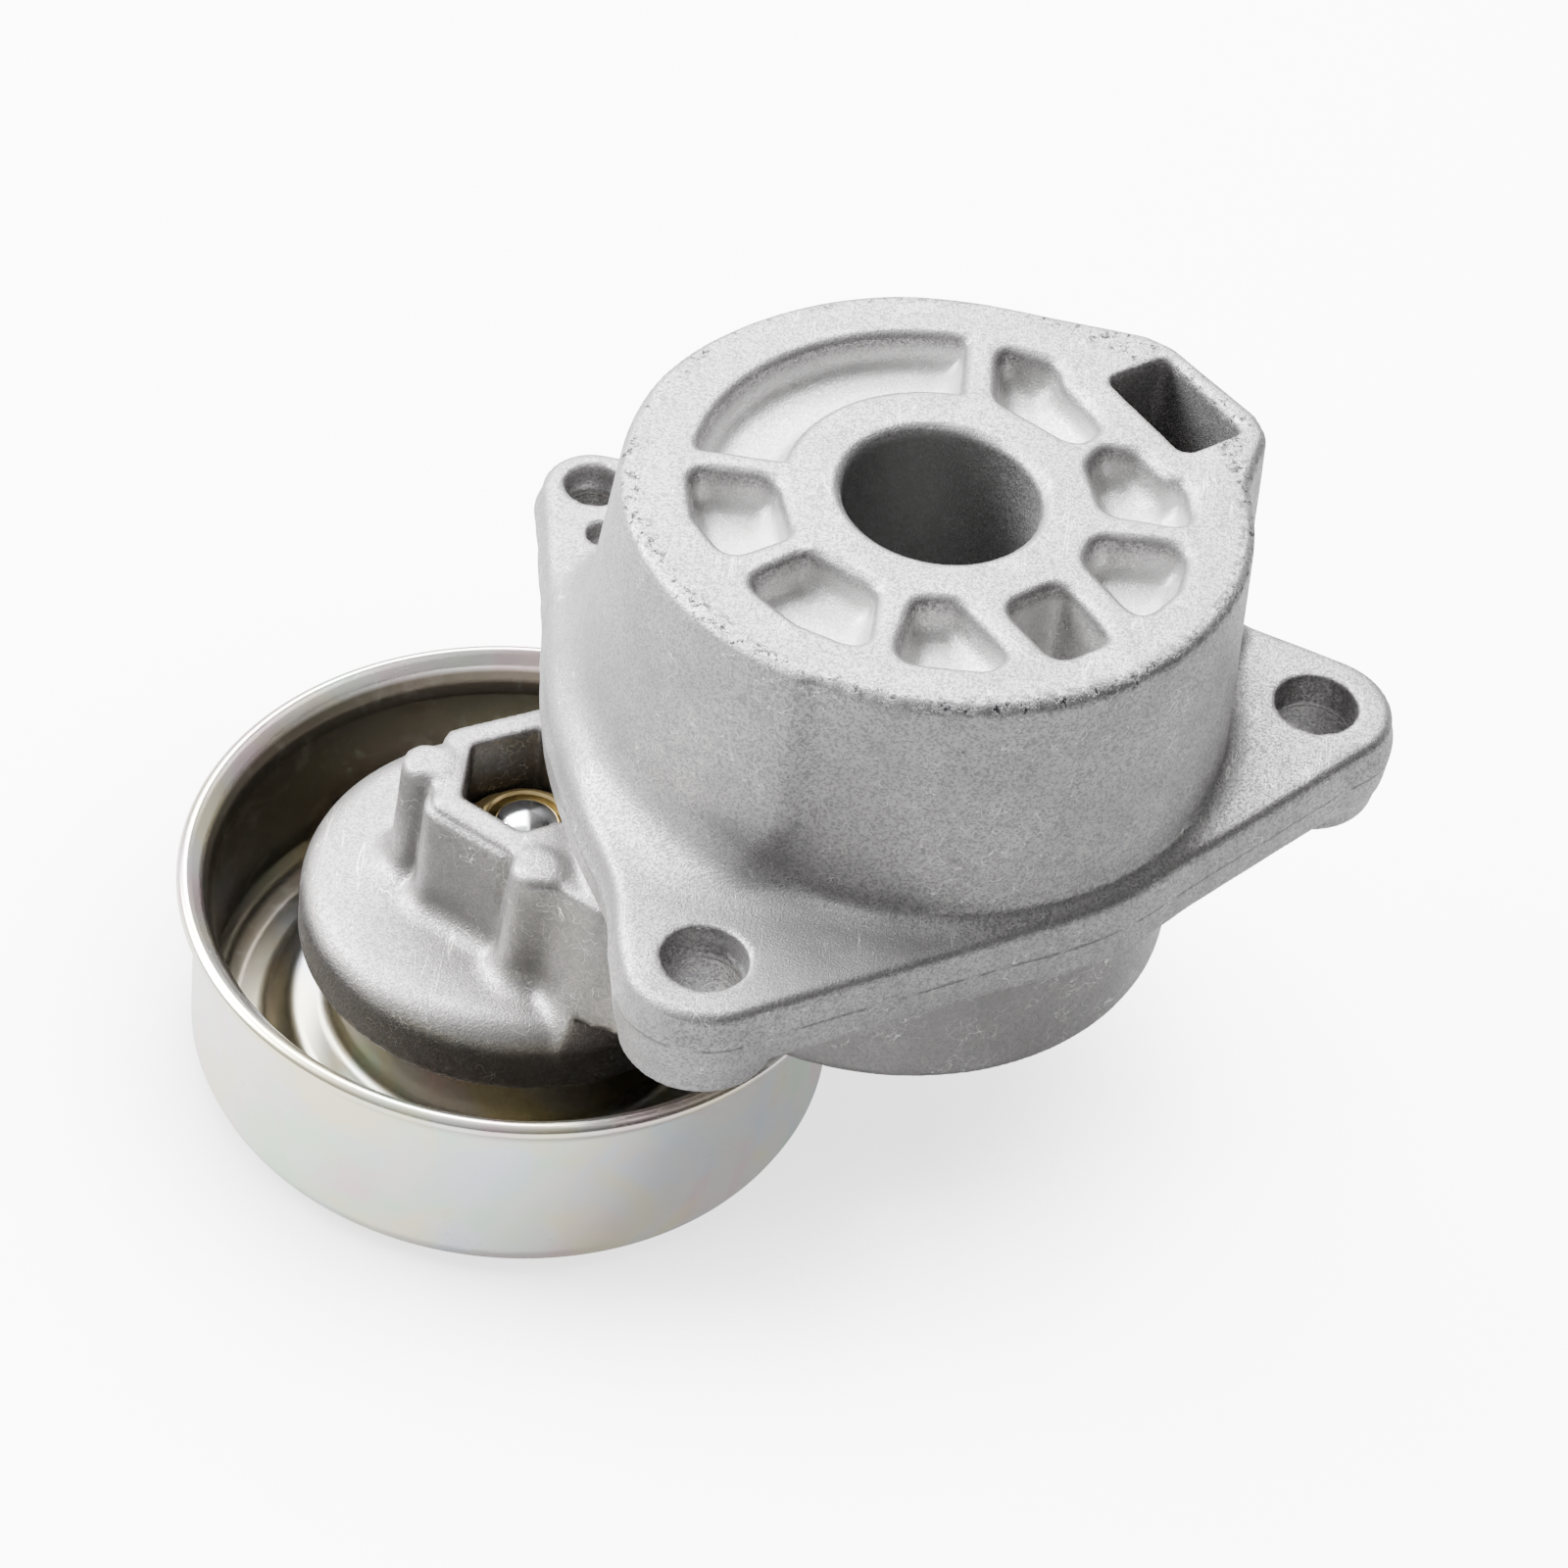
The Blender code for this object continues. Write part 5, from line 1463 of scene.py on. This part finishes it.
@dataclass
class PivotStack:
    """The shaft, its plate and bushes, the spring and what the spring rubs on."""

    wire_r: float = 2.5
    coil_r: float = 21.5
    coil_top: float = 9.8
    coil_end: float = -18.6
    turns: int = 5
    coil_start: float = -5.0
    tang_r: float = 31.0
    steps: int = 96

    def turned(self, name: str, node: str, section: Outline, finish: PlatedSteel | Moulded, body: str,
               slot: str) -> None:
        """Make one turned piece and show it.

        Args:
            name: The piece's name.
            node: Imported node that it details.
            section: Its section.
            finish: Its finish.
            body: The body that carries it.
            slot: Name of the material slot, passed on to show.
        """
        show(spun_mesh(name, softened(section, 0.3, 3), self.steps, (0.0, 0.0)), finish, body, slot, node)

    def build(self) -> None:
        """Make the pieces and show them."""
        self.turned("pivot_shaft_ground", "pivot_shaft",
                    [(0.0, 5.2), (9.2, 5.2), (9.8, 4.6), (9.8, -24.7), (6.0, -24.7), (6.0, -25.7),
                     (6.9, -26.1), (6.6, -26.4), (0.0, -26.3)], BEARING_FINISH, "housing", "bearing_steel")
        self.turned("retaining_plate_pressed", "retaining_plate",
                    [(6.3, -25.0), (14.2, -25.0), (14.2, -26.0), (13.8, -26.4), (7.3, -26.4), (6.3, -25.5)],
                    PLATE_ZINC, "housing", "clear_zinc")
        self.turned("upper_bush_flanged", "upper_bush",
                    [(10.1, -2.3), (14.4, -2.3), (14.4, -3.9), (12.0, -3.9), (12.0, -13.4), (10.1, -13.4)],
                    BRONZE, "arm", "bronze")
        self.turned("lower_bush_flanged", "lower_bush",
                    [(10.1, -14.0), (12.0, -14.0), (12.0, -23.7), (14.1, -23.7), (14.1, -24.7),
                     (10.1, -24.7)],
                    BRONZE, "arm", "bronze")
        self.turned("spring_seat_moulded", "spring_seat",
                    [(18.5, 12.6), (24.5, 12.6), (24.5, 13.7), (18.5, 13.7)], NYLON, "housing", "nylon")
        self.sector("spring_liner_moulded", "spring_liner", (26.0, 28.6), (50.5, 377.5), (-3.0, 13.4), NYLON,
                    "housing", "nylon")
        self.sector("damper_shoe_moulded", "damper_shoe", (24.5, 25.7), (110.0, 250.0), (-21.4, -0.5),
                    FRICTION, "arm", "friction_plastic")
        self.build_spring()

    def sector(self, name: str, node: str, radii: Point, angles: Point, heights: Point, finish: Moulded,
               body: str, slot: str) -> None:
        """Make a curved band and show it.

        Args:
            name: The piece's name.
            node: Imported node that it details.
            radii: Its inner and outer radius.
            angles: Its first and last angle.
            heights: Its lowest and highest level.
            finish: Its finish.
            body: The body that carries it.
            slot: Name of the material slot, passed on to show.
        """
        bevel = 0.3
        low, high = heights
        section = [(radii[0], low + bevel), (radii[0] + bevel, low), (radii[1] - bevel, low),
                   (radii[1], low + bevel), (radii[1], high - bevel), (radii[1] - bevel, high),
                   (radii[0] + bevel, high), (radii[0], high - bevel)]
        steps = 120
        points = []
        for i in range(steps + 1):
            angle = angles[0] + (angles[1] - angles[0]) * i / steps
            for radius, height in section:
                x, y = polar(radius, angle)
                points.append(metres(x, y, height))
        faces = loft_faces(steps + 1, len(section), False)
        show(closed_mesh(name, points, faces), finish, body, slot, node)

    def spring_path(self) -> list[Vector]:
        """Points along the wire, from the tang's tip to the cut end."""
        reach = math.degrees(math.acos(self.coil_r / self.tang_r))
        contact = Vector((*polar(self.coil_r, self.coil_start), self.coil_top))
        tip = Vector((*polar(self.tang_r, self.coil_start + reach), self.coil_top))
        path = [tip.lerp(contact, t) for t in (0.0, 0.02, 0.3, 0.6, 0.85)]
        count = self.turns * 72
        for i in range(count + 1):
            height = self.coil_top + (self.coil_end - self.coil_top) * i / count
            turned = self.coil_start - 360.0 * self.turns * i / count
            path.append(Vector((*polar(self.coil_r, turned), height)))
        return path

    def build_spring(self) -> None:
        """Make the torsion spring and show it."""
        path = self.spring_path()
        points = []
        sides = 20
        for i, spot in enumerate(path):
            along = (path[min(i + 1, len(path) - 1)] - path[max(i - 1, 0)]).normalized()
            across = along.cross(Vector((0.0, 0.0, 1.0))).normalized()
            upward = across.cross(along)
            radius = self.wire_r - (0.35 if i in (0, len(path) - 1) else 0.0)
            for k in range(sides):
                turn = math.tau * k / sides
                rim = spot + (across * math.cos(turn) + upward * math.sin(turn)) * radius
                points.append(tuple(rim * MM))
        faces = loft_faces(len(path), sides, False)
        show(closed_mesh("torsion_spring_wound", points, faces, 50.0), SPRING_FINISH, "housing",
             "spring_steel", "torsion_spring")


# ------------------------------------------------------------------ studio

@dataclass
class Studio:
    """The pale floor, the soft lights and the camera."""

    floor: float = -52.2
    elevation: float = 43.68
    roll: float = 7.753
    lens: float = 121.04
    eye: tuple[float, float, float] = (-11.94, -407.59, 373.77)

    def build_floor(self) -> None:
        """Lay a wide plain floor that curves up far behind the object. It glows to the camera, with a painted
        shadow where the object is near, and glows faintly to everything else.
        """
        rows: Outline = [(-1500.0, 0.0)] + [(700.0 + 500.0 * math.sin(math.radians(a)),
                                            500.0 * (1 - math.cos(math.radians(a)))) for a in range(0, 91, 6)]
        rows.append((1200.0, 1500.0))
        points = [metres(x, y, z + self.floor) for y, z in rows for x in (-1800.0, 1800.0)]
        faces = [[2 * i, 2 * i + 1, 2 * i + 3, 2 * i + 2] for i in range(len(rows) - 1)]
        mesh = bpy.data.meshes.new("studio_floor")
        mesh.from_pydata(points, [], faces)
        mesh.shade_smooth()
        material, sheet, shader = new_material("pale_floor")
        shader.inputs["Roughness"].default_value = 0.9
        shader.inputs["Emission Color"].default_value = rgba((1.0, 1.0, 1.0))
        seen = sheet.add("LightPath").outputs["Is Camera Ray"]
        # Painted shadow: the glow that the camera sees is dimmed by ambient occlusion near the object.
        painted_shadow_ao = sheet.add("AmbientOcclusion", {"Distance": 0.045}, samples=8).outputs["AO"]
        glow = sheet.ramp(painted_shadow_ao, 0.45, 1.0, 2.2, 9.0)
        glow = sheet.add("Mix", {0: seen, 2: 0.30, 3: glow}).outputs[0]
        sheet.tree.links.new(glow, shader.inputs["Emission Strength"])
        where = Effects.put(sheet, Effect.PLACE).outputs["Place"]
        tone = sheet.mix(sheet.noise(where, 0.01, 2.0), rgba((0.44, 0.44, 0.445)), rgba((0.46, 0.46, 0.46)))
        sheet.tree.links.new(tone, shader.inputs["Base Color"])
        mesh.materials.append(material)
        floor = bpy.data.objects.new("studio_floor", mesh)
        bpy.context.scene.collection.objects.link(floor)

    def softbox(self, name: str, place: tuple[float, float, float], target: tuple[float, float, float],
                size: Point, power: float) -> None:
        """Hang a rectangular area light.

        Args:
            name: The light's name.
            place: Where it hangs.
            target: What it points at.
            size: Its width and height.
            power: Its power in watts.
        """
        light = bpy.data.lights.new(name, "AREA")
        light.shape = "RECTANGLE"
        light.size, light.size_y = size[0] * MM, size[1] * MM
        light.energy = power
        lamp = bpy.data.objects.new(name, light)
        lamp.location = Vector(place) * MM
        lamp.rotation_mode = "QUATERNION"
        lamp.rotation_quaternion = (Vector(target) - Vector(place)).to_track_quat("-Z", "Y")
        bpy.context.scene.collection.objects.link(lamp)

    def build_lights(self) -> None:
        """Light the scene with a soft sky, darker towards the front right, and two softboxes."""
        world = bpy.data.worlds.new("studio_sky")
        world.use_nodes = True
        sheet = NodeSheet(world.node_tree)
        back = world.node_tree.nodes["Background"]
        parts = sheet.add("SeparateXYZ", {0: sheet.add("TexCoord").outputs["Generated"]})
        lifted = sheet.ramp(parts.outputs[2], 0.0, 0.85, 0.4, 1.9)
        behind = sheet.ramp(parts.outputs[1], -0.7, 0.6, 0.38, 1.0)
        leftward = sheet.ramp(parts.outputs[0], 0.8, -0.5, 0.12, 1.2)
        strength = sheet.math("MULTIPLY", sheet.math("MULTIPLY", lifted, behind), leftward)
        back.inputs["Color"].default_value = rgba((1.0, 1.0, 1.0))
        world.node_tree.links.new(strength, back.inputs["Strength"])
        bpy.context.scene.world = world
        self.softbox("softbox_over", (-140.0, 430.0, 520.0), (0.0, 0.0, 0.0), (560.0, 420.0), 15.0)
        self.softbox("softbox_left", (-560.0, 120.0, 380.0), (-10.0, 0.0, -10.0), (420.0, 340.0), 17.0)

    def build_camera(self) -> None:
        """Place the camera."""
        data = bpy.data.cameras.new("camera")
        data.sensor_width = 36.0
        data.lens = self.lens
        data.clip_start, data.clip_end = 0.05, 20.0
        camera = bpy.data.objects.new("camera", data)
        tilt = Matrix.Rotation(math.radians(90.0 - self.elevation), 4, "X")
        roll = Matrix.Rotation(math.radians(self.roll), 4, "Z")
        camera.matrix_world = Matrix.Translation(Vector(self.eye) * MM) @ tilt @ roll
        bpy.context.scene.collection.objects.link(camera)
        bpy.context.scene.camera = camera

    def build(self) -> None:
        """Build the floor, lights and camera."""
        self.build_floor()
        self.build_lights()
        self.build_camera()


def main() -> None:
    """Build every sub-assembly and the studio."""
    logging.basicConfig(level=logging.INFO, format="%(name)s: %(message)s")
    SpringHousing().build()
    SwingArm().build()
    IdlerPulley().build()
    PulleyBearing().build()
    PulleyFasteners().build()
    PivotStack().build()
    Studio().build()
    bpy.context.view_layer.update()


if __name__ == "__main__":
    main()
